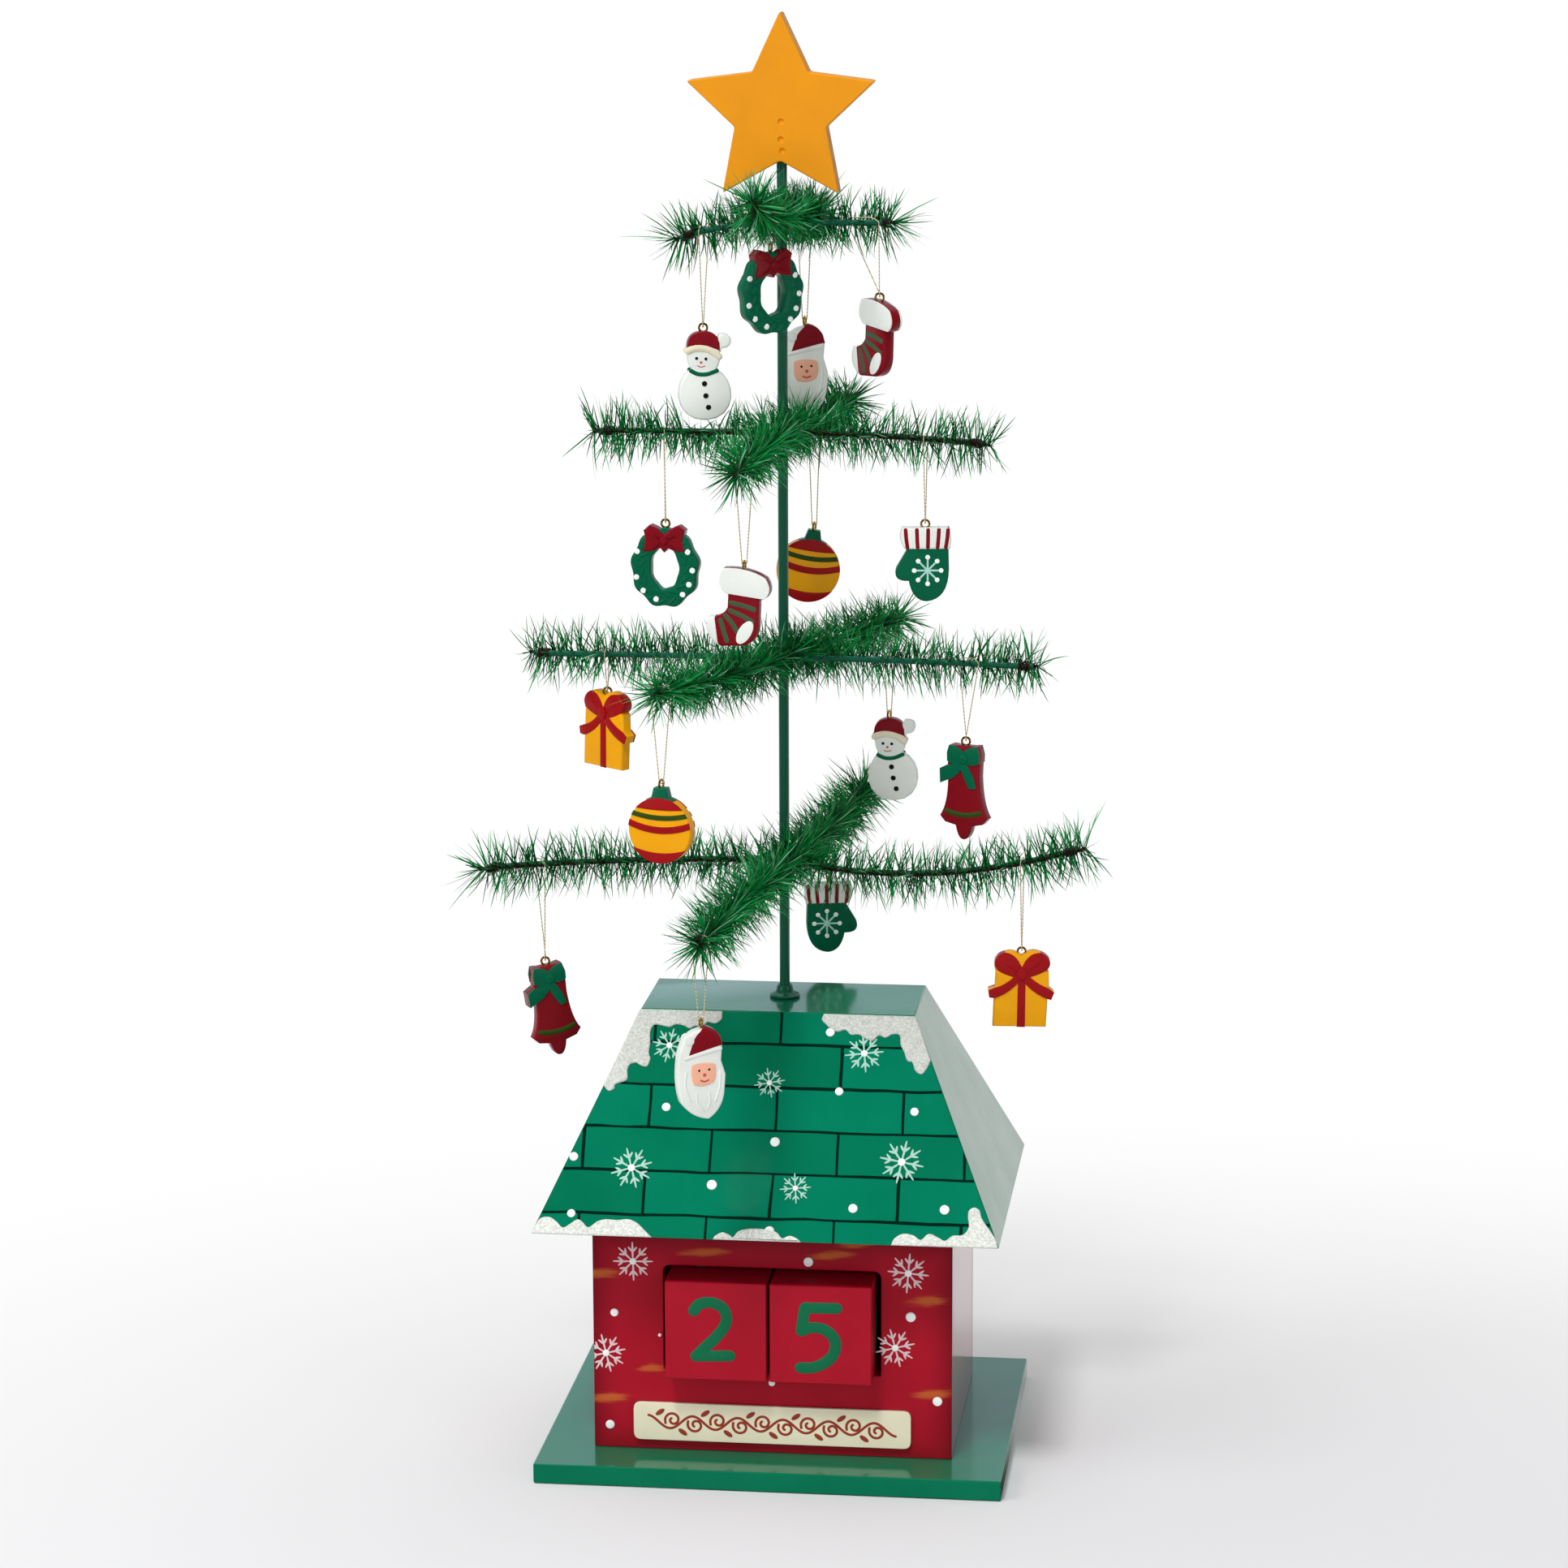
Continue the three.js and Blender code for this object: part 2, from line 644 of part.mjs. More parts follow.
// The turn of wire that binds a garland to the end of a rod
function bindingRing(arm) {
  const ring = new THREE.TorusGeometry(armRadius + fitGap + bindRadius, bindRadius, bindSides, ringSteps);
  ring.rotateY(Math.PI / 2);
  ring.rotateZ(THREE.MathUtils.degToRad(arm.heading));
  return ring.translate(...armPoint(arm, arm.length - bindSetback).toArray());
}

function addGarland(tier) {
  const own = arms.filter((arm) => arm.tier === tier);
  const bySide = Object.fromEntries(own.map((arm) => [arm.side, arm]));
  const wires = [needleWire(bySide.left, bySide.right), needleWire(bySide.front, bySide.back)];
  addPiece(calendar, `${tier}_garland`, joined([...wires, ...own.map(bindingRing)]), 'needle');
}

// Ornament outlines: flat painted wood, drawn from the seat of the screw eye downwards

// Width, and height below the seat, of each kind
const ornamentSizes = {
  snowman: [23, 34.3],
  stocking: [27, 29.3],
  wreath: [28, 31.8],
  santa: [19.5, 35.3],
  mitten: [23.5, 28.6],
  ball: [25.2, 28.6],
  gift: [26, 28.8],
  bell: [20.4, 37.5],
};

function snowmanOutline() {
  const shape = new THREE.Shape();
  shape.moveTo(-6.3, -7);
  shape.quadraticCurveTo(-6.3, 0, 0, 0);
  shape.quadraticCurveTo(3.5, 0, 5.4, -2.4);
  shape.lineTo(6.4, -0.9);
  shape.quadraticCurveTo(10.8, -0.6, 10.6, -3.9);
  shape.quadraticCurveTo(10.2, -6.6, 7.2, -6.4);
  shape.lineTo(6.3, -8);
  shape.quadraticCurveTo(6.6, -12.5, 4.8, -14.5);
  shape.bezierCurveTo(13, -18, 13.5, -34.3, 0.5, -34.3);
  shape.bezierCurveTo(-12.5, -34.3, -12, -18, -4.8, -14.5);
  shape.quadraticCurveTo(-6.6, -12, -6.3, -7);
  return shape;
}

function stockingOutline() {
  const shape = new THREE.Shape();
  shape.moveTo(-7.5, 0.6);
  shape.quadraticCurveTo(2, 1.2, 8.7, -2.9);
  shape.quadraticCurveTo(12, -8, 8.1, -11);
  shape.lineTo(6.2, -11.5);
  shape.lineTo(5.9, -19.3);
  shape.quadraticCurveTo(6, -27.6, 0, -29);
  shape.lineTo(-9, -29.3);
  shape.quadraticCurveTo(-16.4, -25, -13.1, -18.4);
  shape.quadraticCurveTo(-8, -18, -6.2, -14.5);
  shape.lineTo(-5.9, -9.6);
  shape.quadraticCurveTo(-11.4, -6, -7.5, 0.6);
  return shape;
}

function wreathOutline() {
  const [width, height] = ornamentSizes.wreath;
  const lobes = 9;
  const ripple = 0.02;
  const holeShare = { width: 0.41, height: 0.52 };
  const ring = (halfX, halfY, depth, count) => Array.from({ length: count }, (_, i) => {
    const angle = 2 * Math.PI * i / count + Math.PI / 2;
    const reach = 1 - depth * (1 - Math.cos(lobes * (angle - Math.PI / 2)));
    return new THREE.Vector2(halfX * reach * Math.cos(angle), halfY * reach * Math.sin(angle) - height / 2);
  });
  const shape = new THREE.Shape(ring(width / 2, height / 2, ripple, 3 * lobes));
  const hole = ring(holeShare.width * width / 2, holeShare.height * height / 2, 0, 12);
  shape.holes.push(new THREE.Path(hole));
  return shape;
}

function santaOutline() {
  const shape = new THREE.Shape();
  shape.moveTo(1, 0);
  shape.lineTo(-3.1, -1.2);
  shape.quadraticCurveTo(-8.6, -3.6, -9.5, -12);
  shape.quadraticCurveTo(-10.6, -22, -8.4, -28.5);
  shape.quadraticCurveTo(-4.5, -34.4, 2.2, -35.3);
  shape.quadraticCurveTo(7.6, -32, 8.4, -25.4);
  shape.lineTo(8.9, -18.5);
  shape.lineTo(7.2, -13);
  shape.lineTo(7.6, -7.4);
  shape.quadraticCurveTo(5.6, -1, 1, 0);
  return shape;
}

function mittenOutline() {
  const shape = new THREE.Shape();
  shape.moveTo(-8.8, 0);
  shape.lineTo(8.6, 0);
  shape.quadraticCurveTo(10.6, -4, 9, -8.6);
  shape.lineTo(9.2, -16);
  shape.quadraticCurveTo(9, -27.8, 0.6, -28.6);
  shape.quadraticCurveTo(-5, -28.4, -6.4, -20.6);
  shape.quadraticCurveTo(-13, -20.8, -11.2, -15.4);
  shape.lineTo(-7.2, -8.6);
  shape.quadraticCurveTo(-10.8, -4, -8.8, 0);
  return shape;
}

function ballOutline() {
  const [width, height] = ornamentSizes.ball;
  const radius = width / 2;
  const capHalf = 3.2;
  const start = Math.acos(capHalf / radius);
  const shape = new THREE.Shape();
  shape.moveTo(-capHalf, radius - height + radius * Math.sin(start));
  shape.lineTo(-capHalf * 0.7, 0);
  shape.lineTo(capHalf * 0.7, 0);
  const steps = 18;
  const step = (2 * Math.PI - (Math.PI - 2 * start)) / steps;
  for (let i = 0; i < steps; i += 1) {
    const angle = start - i * step;
    shape.lineTo(radius * Math.cos(angle), radius - height + radius * Math.sin(angle));
  }
  shape.closePath();
  return shape;
}

function giftOutline() {
  const shape = new THREE.Shape();
  shape.moveTo(0, 0);
  shape.quadraticCurveTo(6, 5, 10.8, -2.3);
  shape.lineTo(9.8, -6);
  shape.lineTo(10.6, -6.4);
  shape.lineTo(10.8, -13);
  shape.lineTo(12.8, -14.8);
  shape.lineTo(11.6, -17.8);
  shape.lineTo(10.2, -17.3);
  shape.lineTo(9.6, -28.8);
  shape.lineTo(-11.4, -28.4);
  shape.lineTo(-10.9, -17);
  shape.lineTo(-12.8, -16.6);
  shape.lineTo(-13.2, -13.6);
  shape.lineTo(-10.6, -12.8);
  shape.lineTo(-10.2, -6.2);
  shape.quadraticCurveTo(-12, -2.8, -8, 0.6);
  shape.quadraticCurveTo(-4.4, 3.4, 0, 0);
  return shape;
}

function bellOutline() {
  const shape = new THREE.Shape();
  shape.moveTo(-6, 0);
  shape.lineTo(6, 0);
  shape.lineTo(7, -3.5);
  shape.lineTo(6.6, -12);
  shape.quadraticCurveTo(7, -24, 10.2, -28.5);
  shape.lineTo(8, -31);
  shape.lineTo(3.4, -32);
  shape.quadraticCurveTo(2.4, -37.5, 0, -37.5);
  shape.quadraticCurveTo(-2.4, -37.5, -3.4, -32);
  shape.lineTo(-8, -31);
  shape.lineTo(-10.2, -28.5);
  shape.quadraticCurveTo(-7, -24, -6.8, -14);
  shape.lineTo(-9.8, -15.4);
  shape.lineTo(-10, -9.6);
  shape.lineTo(-7, -8);
  shape.closePath();
  return shape;
}

// Each kind's outline, the width and height at which it is drawn, and its paint
const ornamentKinds = {
  snowman: { outline: snowmanOutline, drawn: [23, 34.3], paint: 'white' },
  stocking: { outline: stockingOutline, drawn: [27, 29.3], paint: 'crimson' },
  wreath: { outline: wreathOutline, drawn: ornamentSizes.wreath, paint: 'green' },
  santa: { outline: santaOutline, drawn: [19.5, 35.3], paint: 'white' },
  mitten: { outline: mittenOutline, drawn: [23.5, 28.6], paint: 'green' },
  ball: { outline: ballOutline, drawn: ornamentSizes.ball, paint: 'gold' },
  gift: { outline: giftOutline, drawn: [26, 28.8], paint: 'gold' },
  bell: { outline: bellOutline, drawn: [20.4, 37.5], paint: 'crimson' },
};

// An ornament with its screw eye: the eye's ring stands in the plane of the arm
function ornamentGeometry(arm) {
  const { outline, drawn } = ornamentKinds[arm.kind];
  const [width, height] = ornamentSizes[arm.kind];
  const flat = uprightPlate(outline(), -ornamentThickness / 2, ornamentThickness / 2, 3);
  flat.scale(width / drawn[0], 1, height / drawn[1]);
  flat.rotateY(-THREE.MathUtils.degToRad(arm.tilt));
  flat.rotateZ(THREE.MathUtils.degToRad(arm.turn - arm.heading));
  const eye = new THREE.TorusGeometry(eyeRadius, eyeWire, eyeSides, ringSteps);
  eye.rotateX(Math.PI / 2);
  eye.translate(0, 0, eyeRadius + eyeWire - eyeSink);
  return joined([flat, eye]).translate(0, 0, -arm.drop);
}

// A closed path of straight pieces between given points
class Loop extends THREE.Curve {
  constructor(points) {
    super();
    this.points = points;
  }

  getPoint(t) {
    const place = (((t % 1) + 1) % 1) * this.points.length;
    const i = Math.floor(place);
    return this.points[i].clone().lerp(this.points[(i + 1) % this.points.length], place - i);
  }

  getPointAt(u) {
    return this.getPoint(u);
  }

  getTangent(t) {
    const step = 0.5 / this.points.length;
    return this.getPoint(t + step).sub(this.getPoint(t - step)).normalize();
  }

  getTangentAt(u) {
    return this.getTangent(u);
  }
}

function arcPoints(y, z, radius, degrees) {
  return degrees.map((degree) => {
    const angle = THREE.MathUtils.degToRad(degree);
    return new THREE.Vector3(0, y + radius * Math.cos(angle), z + radius * Math.sin(angle));
  });
}

// The thread: over the rod and the wire, and through the screw eye
function threadGeometry(arm) {
  const middle = (wireOffset + wireRadius - armRadius) / 2;
  const overRod = armRadius + threadRoom + threadRadius;
  const overWire = wireRadius + threadRoom + threadRadius;
  const inEye = eyeWire + fitGap + threadRadius;
  const eyeTop = eyeHeight - eyeWire - arm.drop;
  const wireY = wireOffset - middle;
  const top = [
    ...arcPoints(wireY, 0, overWire, [0, 45, 90]),
    ...arcPoints(-middle, 0, overRod, [90, 135, 180]),
  ];
  const bottom = arcPoints(0, eyeTop, inEye, [180, 225, 270, 315, 360]);
  const points = [...top, ...bottom].map((point) => new THREE.Vector3(0, wireTurn(arm) * point.y, point.z));
  return new THREE.TubeGeometry(new Loop(points), points.length, threadRadius, threadSides, true);
}

// Each ornament and its thread swing together about the arm, so they share a group at that point
function addOrnament(arm) {
  const swing = new THREE.Group();
  swing.name = `${arm.tier}_${arm.side}`;
  swing.position.copy(hangPoint(arm));
  swing.rotation.z = THREE.MathUtils.degToRad(arm.heading);
  addPiece(swing, `${swing.name}_${arm.kind}`, ornamentGeometry(arm), ornamentKinds[arm.kind].paint);
  addPiece(swing, `${swing.name}_thread`, threadGeometry(arm), 'thread');
  calendar.add(swing);
}

addPiece(calendar, 'base_board', boxBetween(
  [-baseWidth / 2, -baseDepth / 2, 0], [baseWidth / 2, baseDepth / 2, baseThickness]), 'green');
addWalls();
addBlockTray();
addPlaque();
addBlocks();
addRoof();
addTrunk();
addStar();
for (const tier of Object.keys(tierDrops)) {
  addArmCross(tier);
  addGarland(tier);
}
arms.forEach(addOrnament);

export default calendar;
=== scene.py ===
# %% [markdown]
# # A painted advent calendar
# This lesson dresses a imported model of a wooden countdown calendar: a painted house with two number
# blocks, and on its flat roof a metal tree with tinsel arms, a star and 16 little wooden ornaments.
# The frame from the pack gives every size and place. Lengths on the calendar are typed in millimetres,
# and one factor turns them into Blender's metres. Only the camera, the floor and the lamps, which stand
# further off, are placed in metres.

# %% Load the frame
import math
import random

import bpy
from mathutils import Matrix, Vector
from mathutils.bvhtree import BVHTree
from mathutils.kdtree import KDTree


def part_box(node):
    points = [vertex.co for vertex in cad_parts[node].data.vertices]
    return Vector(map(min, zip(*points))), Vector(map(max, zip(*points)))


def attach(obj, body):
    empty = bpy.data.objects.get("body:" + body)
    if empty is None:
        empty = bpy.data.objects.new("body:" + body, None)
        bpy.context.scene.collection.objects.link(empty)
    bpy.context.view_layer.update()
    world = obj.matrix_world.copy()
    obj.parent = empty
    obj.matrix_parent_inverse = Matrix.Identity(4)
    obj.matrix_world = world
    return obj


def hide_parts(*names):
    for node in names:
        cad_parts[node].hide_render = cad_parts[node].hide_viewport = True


MM = 0.001
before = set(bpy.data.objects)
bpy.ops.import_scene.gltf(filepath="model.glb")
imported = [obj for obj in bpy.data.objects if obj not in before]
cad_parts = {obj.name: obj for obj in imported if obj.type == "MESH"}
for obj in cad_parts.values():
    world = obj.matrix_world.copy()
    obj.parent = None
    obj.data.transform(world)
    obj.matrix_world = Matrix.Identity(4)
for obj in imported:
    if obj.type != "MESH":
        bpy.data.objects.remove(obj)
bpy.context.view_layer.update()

# %% [markdown]
# ## Camera
# The photograph was taken with a long lens from slightly above and to the right. The camera's place and
# turn come from fitting the corners of the base, house and roof, and the small shift puts the middle of
# the lens where the fit found it.

# %% Camera
def placed(name, data):
    """Puts data, such as a mesh, a lamp or the camera, in the scene as an object."""
    obj = bpy.data.objects.new(name, data)
    bpy.context.scene.collection.objects.link(obj)
    return obj


camera_place = (0.215626, -1.788874, 0.647754)
camera_turn = math.radians(6.979)
camera_tip = math.radians(90 - 11.958)
camera_roll = math.radians(-0.229)

camera_data = bpy.data.cameras.new("camera")
camera_data.sensor_width = 36
camera_data.lens = 107.28
camera_data.shift_x = 0.00434
camera_data.shift_y = 0.00171
camera_data.clip_end = 20
camera = placed("camera", camera_data)
camera.matrix_world = (
    Matrix.Translation(camera_place)
    @ Matrix.Rotation(camera_turn, 4, "Z")
    @ Matrix.Rotation(camera_tip, 4, "X")
    @ Matrix.Rotation(camera_roll, 4, "Z")
)
bpy.context.scene.camera = camera
bpy.context.scene.view_settings.view_transform = "Standard"
print("camera at", camera_place)

# %% [markdown]
# ## Colours and nodes
# Paint colours are written as sRGB hex values, as a paint chart gives them, and one function turns them
# into the linear values that shaders work with. Every shader below is put together from nodes with one
# small function: it adds a node, sets it, and links or fills its inputs.

# %% Colours and nodes
def linear(code):
    """Turns an sRGB hex colour into linear RGBA."""
    parts = [int(code[i:i + 2], 16) / 255 for i in (1, 3, 5)]
    return tuple(c / 12.92 if c <= 0.04045 else ((c + 0.055) / 1.055) ** 2.4 for c in parts) + (1.0,)


def add_node(tree, kind, settings=None, inputs=None):
    """Adds a node; each input takes a value or another node's output."""
    node = tree.nodes.new("ShaderNode" + kind)
    for key, value in (settings or {}).items():
        setattr(node, key, value)
    for key, value in (inputs or {}).items():
        if isinstance(value, bpy.types.NodeSocket):
            tree.links.new(value, node.inputs[key])
        else:
            node.inputs[key].default_value = value
    return node


def new_material(name):
    """An empty material and its node tree."""
    material = bpy.data.materials.new(name)
    material.use_nodes = True
    material.node_tree.nodes.clear()
    return material, material.node_tree


print("white is", linear("#FFFFFF"))

# %% [markdown]
# ## Floor, background and light
# The calendar stands on a white sweep that fades into pure white. The floor is a plain disc whose
# material is pale paint near the object, where it catches the soft shadow, and turns into white light
# further out. Both floor and world show plain white to the camera. A reflection sees them otherwise: a
# real studio is bright behind the object and dark around the camera, so what lies in front of the
# object is nearly dark in gloss and what lies behind is bright and a little blue. Glossy paint then
# keeps its full colour on the faces that look at the camera and turns pale on those seen at a low angle.
# Six soft boxes light the scene. Gloss doesn't show three of them, so that no bright square stands on
# the paint.

# %% Floor
# In metres: the disc and how far it lies under the feet, where its paint fades into light, and the two
# depths between which the front of the studio turns into its back.
floor_radius = 6
floor_drop = 0.0002
fade_centre, fade_start, fade_end = (0.12, -0.30, 0.0), 0.22, 0.80
front_y, back_y = -0.06, 0.10
front_glow = 0.04
bpy.ops.object.select_all(action="DESELECT")
bpy.ops.mesh.primitive_circle_add(
    vertices=96, radius=floor_radius, fill_type="NGON", location=(0, 0, -floor_drop))
floor = bpy.context.active_object
floor.name = "floor"

# Matt white studio paint: no gloss, so the eye sees only the object's soft shadow on it.
sweep, tree = new_material("matt_white_sweep")
place = add_node(tree, "TexCoord").outputs["Object"]
offset = add_node(tree, "VectorMath", {"operation": "SUBTRACT"}, {0: place, 1: fade_centre})
distance = add_node(tree, "VectorMath", {"operation": "LENGTH"}, {0: offset.outputs["Vector"]})
fade = add_node(tree, "MapRange", {"interpolation_type": "SMOOTHSTEP"}, {
    "Value": distance.outputs["Value"], "From Min": fade_start, "From Max": fade_end})
path = add_node(tree, "LightPath")
mirrored = path.outputs["Is Glossy Ray"]
seen = add_node(tree, "Math", {"operation": "ADD", "use_clamp": True}, {
    0: path.outputs["Is Camera Ray"], 1: path.outputs["Is Transmission Ray"]})
place_y = add_node(tree, "SeparateXYZ", None, {0: place}).outputs["Y"]
in_front = add_node(tree, "MapRange", {"interpolation_type": "SMOOTHSTEP"}, {
    "Value": place_y, "From Min": front_y, "From Max": back_y,
    "To Min": 1.0, "To Max": 0.0}).outputs[0]
turned_away = add_node(tree, "Math", {"operation": "MAXIMUM"}, {0: fade.outputs[0], 1: in_front})
plain = add_node(tree, "Math", {"operation": "MULTIPLY"}, {0: seen.outputs[0], 1: fade.outputs[0]})
in_gloss = add_node(tree, "Math", {"operation": "MULTIPLY"}, {0: mirrored, 1: turned_away.outputs[0]})
share = add_node(tree, "Math", {"operation": "ADD", "use_clamp": True}, {
    0: plain.outputs[0], 1: in_gloss.outputs[0]})
dimmed = add_node(tree, "Math", {"operation": "MULTIPLY"}, {0: mirrored, 1: in_front})
strength = add_node(tree, "MapRange", None, {
    "Value": dimmed.outputs[0], "To Min": 1.0, "To Max": front_glow})
paint = add_node(tree, "BsdfDiffuse", None, {"Color": linear("#E4E4E6")})
glow = add_node(tree, "Emission", None, {"Color": (1, 1, 1, 1), "Strength": strength.outputs[0]})
both = add_node(tree, "MixShader", None, {0: share.outputs[0], 1: paint.outputs[0], 2: glow.outputs[0]})
add_node(tree, "OutputMaterial", None, {"Surface": both.outputs[0]})
floor.data.materials.append(sweep)
print("floor", floor_radius, "m, fades from", fade_start, "to", fade_end)

# %% World
# The last two numbers are directions: how far a reflection points to the back, from -1 to 1.
ambient_level = 0.20
front_reflection, back_reflection = 0.02, 0.80
dark_until, bright_from = -0.15, 0.55
world = bpy.data.worlds.new("white_studio")
bpy.context.scene.world = world
world.use_nodes = True
tree = world.node_tree
tree.nodes.clear()
path = add_node(tree, "LightPath")
towards = add_node(tree, "SeparateXYZ", None, {0: add_node(tree, "TexCoord").outputs["Generated"]})
behind = add_node(tree, "MapRange", {"interpolation_type": "SMOOTHSTEP"}, {
    "Value": towards.outputs["Y"], "From Min": dark_until, "From Max": bright_from,
    "To Min": front_reflection, "To Max": back_reflection})
glossy = add_node(tree, "Math", {"operation": "MULTIPLY"}, {
    0: path.outputs["Is Glossy Ray"], 1: behind.outputs[0]})
seen = add_node(tree, "Math", {"operation": "ADD", "use_clamp": True}, {
    0: path.outputs["Is Camera Ray"], 1: path.outputs["Is Transmission Ray"]})
bright = add_node(tree, "Math", {"operation": "MAXIMUM"}, {0: seen.outputs[0], 1: glossy.outputs[0]})
unseen = add_node(tree, "Math", {"operation": "ADD", "use_clamp": True}, {
    0: seen.outputs[0], 1: path.outputs["Is Glossy Ray"]})
soft = add_node(tree, "Math", {"operation": "SUBTRACT"}, {0: 1.0, 1: unseen.outputs[0]})
soft = add_node(tree, "Math", {"operation": "MULTIPLY"}, {0: soft.outputs[0], 1: ambient_level})
level = add_node(tree, "Math", {"operation": "ADD"}, {0: bright.outputs[0], 1: soft.outputs[0]})
tint = add_node(tree, "Mix", {"data_type": "RGBA"}, {
    0: path.outputs["Is Glossy Ray"], 6: (1, 1, 1, 1), 7: linear("#DDF4FF")})
sky = add_node(tree, "Background", None, {"Color": tint.outputs[2], "Strength": level.outputs[0]})
add_node(tree, "OutputWorld", None, {"Surface": sky.outputs[0]})
print("gloss sees", front_reflection, "in front and", back_reflection, "behind")

# %% Lamps
# Each soft box has a place, a target, a size in metres, a power in watts, and whether gloss shows it.
soft_boxes = {
    "key": ((-0.45, -1.95, 3.30), (0, 0, 0.2), 0.62, 70, False),
    "front": ((0.1, -3.2, 0.5), (0, 0, 0.2), 2.6, 29, False),
    "left": ((-0.95, -0.65, 1.10), (-0.04, 0, 0.12), 0.5, 4, False),
    "top": ((0, 0.2, 2.6), (0, 0, 0.2), 2.4, 22, True),
    "side": ((-1.5, -1.5, 0.75), (0, 0, 0.25), 0.5, 4, True),
    "fill": ((1.5, -1.2, 0.6), (0, 0, 0.25), 0.6, 3, True),
}
for name, (place, target, size, power, in_mirrors) in soft_boxes.items():
    data = bpy.data.lights.new(name + "_soft_box", "AREA")
    data.size = size
    data.energy = power
    lamp = placed(name + "_soft_box", data)
    aim = (Vector(target) - Vector(place)).to_track_quat("-Z", "Y")
    lamp.matrix_world = Matrix.Translation(place) @ aim.to_matrix().to_4x4()
    lamp.visible_glossy = in_mirrors
print("lamps", len(soft_boxes))

# %% [markdown]
# ## Paint on wood
# Every wooden part is brushed with craft enamel. The eye sees three things in it: an even, saturated
# colour that is a little cloudy, fine ridges that the brush left, and a gloss that differs from paint to
# paint. One function makes that finish from a colour, which may itself come from a pattern.

# %% Painted wood
# How much the paint itself shines, bare or under varnish; the varnish's own gloss; and the clouds of
# tone and the fine unevenness of the gloss, with their sizes in millimetres.
bare_shine, varnished_shine = 0.2, 0.05
varnish_roughness, varnish_ior = 0.12, 1.4
cloud_size, cloud_depth, peel_size = 22, 0.08, 1.6


def painted_wood(tree, colour, roughness, ridge_mm=0.5, ridge_run_mm=18.0, depth_mm=0.02, varnish=0.0):
    """Brushed enamel: cloudy tone, brush ridges along X, an uneven gloss and perhaps a clear varnish."""
    place = add_node(tree, "TexCoord").outputs["Object"]
    clouds = add_node(tree, "TexNoise", None, {
        "Vector": place, "Scale": 1 / (cloud_size * MM), "Detail": 4.0})
    tone = add_node(tree, "MapRange", None, {
        "Value": clouds.outputs[0], "From Min": 0.3, "From Max": 0.7,
        "To Min": 1 - cloud_depth, "To Max": 1 + 0.4 * cloud_depth})
    shade = add_node(tree, "VectorMath", {"operation": "SCALE"}, {0: colour, "Scale": tone.outputs[0]})
    along = 1 / (ridge_run_mm * MM)
    across = 1 / (ridge_mm * MM)
    brushed = add_node(tree, "Mapping", None, {"Vector": place, "Scale": (along, across, across)})
    ridges = add_node(tree, "TexNoise", None, {"Vector": brushed.outputs[0], "Scale": 1.0, "Detail": 2.0})
    peel = add_node(tree, "TexNoise", None, {
        "Vector": place, "Scale": 1 / (peel_size * MM), "Detail": 1.0})
    height = add_node(tree, "Math", {"operation": "ADD"}, {0: ridges.outputs[0], 1: peel.outputs[0]})
    bump = add_node(tree, "Bump", None, {
        "Height": height.outputs[0], "Distance": depth_mm * MM, "Strength": 1.0})
    gloss = add_node(tree, "MapRange", None, {
        "Value": clouds.outputs[0], "From Min": 0.35, "From Max": 0.65,
        "To Min": roughness * 0.85, "To Max": roughness * 1.2})
    shader = add_node(tree, "BsdfPrincipled", None, {
        "Base Color": shade.outputs[0], "Roughness": gloss.outputs[0],
        "IOR": 1.5, "Normal": bump.outputs[0], "Coat Weight": varnish,
        "Coat Roughness": varnish_roughness, "Coat IOR": varnish_ior,
        "Specular IOR Level": varnished_shine if varnish else bare_shine})
    add_node(tree, "OutputMaterial", None, {"Surface": shader.outputs[0]})


def enamel(name, code, roughness, **ridges):
    """Brushed enamel of one colour."""
    material, tree = new_material(name)
    painted_wood(tree, linear(code)[:3], roughness, **ridges)
    return material


# Varnished enamel on the house: deep colour under a clear gloss that pales at a low angle.
varnished = {"depth_mm": 0.008, "varnish": 1.0}
green_enamel = enamel("green_gloss_enamel", "#007250", 0.35, **varnished)
crimson_enamel = enamel("crimson_gloss_enamel", "#A01226", 0.35, **varnished)
# Unvarnished satin enamel on the blocks and the plaque: soft highlights and brush ridges that show.
block_enamel = enamel("crimson_satin_enamel", "#A70622", 0.5, ridge_mm=0.35)
digit_enamel = enamel("green_satin_enamel", "#076A44", 0.5, ridge_mm=0.6, ridge_run_mm=6.0)
cream_enamel = enamel("cream_satin_enamel", "#EAE4C8", 0.45, ridge_mm=0.4)
# Craft paint from a thin brush or a brush handle: short ridges or dimples, nearly matt.
scroll_brown = enamel("red_brown_brush_paint", "#9A3A28", 0.5, ridge_mm=0.3, ridge_run_mm=3.0)
dabbed = {"ridge_mm": 0.6, "ridge_run_mm": 0.6}
white_dabs = enamel("white_dabbed_paint", "#F2F5F2", 0.5, **dabbed)
print("paints", len(bpy.data.materials))

# %% [markdown]
# ## Hands for the workshop
# A few helpers stand in for the hands: they pick up a single object, open all of it for editing, apply
# its place or a modifier, paint it, make a curve a mesh and stand a flat piece in its place. A board is a
# copy of its CAD node, so it can't drift from the frame. Its loose triangles are merged, it is stretched
# over the small fitting gaps, and its edges get the small round that sandpaper gives.

# %% Picking up, turning into a mesh and standing in place
def pick(obj):
    """Selects one object alone and makes it active."""
    bpy.ops.object.select_all(action="DESELECT")
    obj.select_set(True)
    bpy.context.view_layer.objects.active = obj


def edit_all(obj):
    """Opens an object in edit mode with all of its mesh selected."""
    pick(obj)
    bpy.ops.object.mode_set(mode="EDIT")
    bpy.ops.mesh.select_all(action="SELECT")


def settle(obj):
    """Writes an object's place, turn and size into its mesh."""
    pick(obj)
    bpy.ops.object.transform_apply(location=True, rotation=True, scale=True)
    return obj


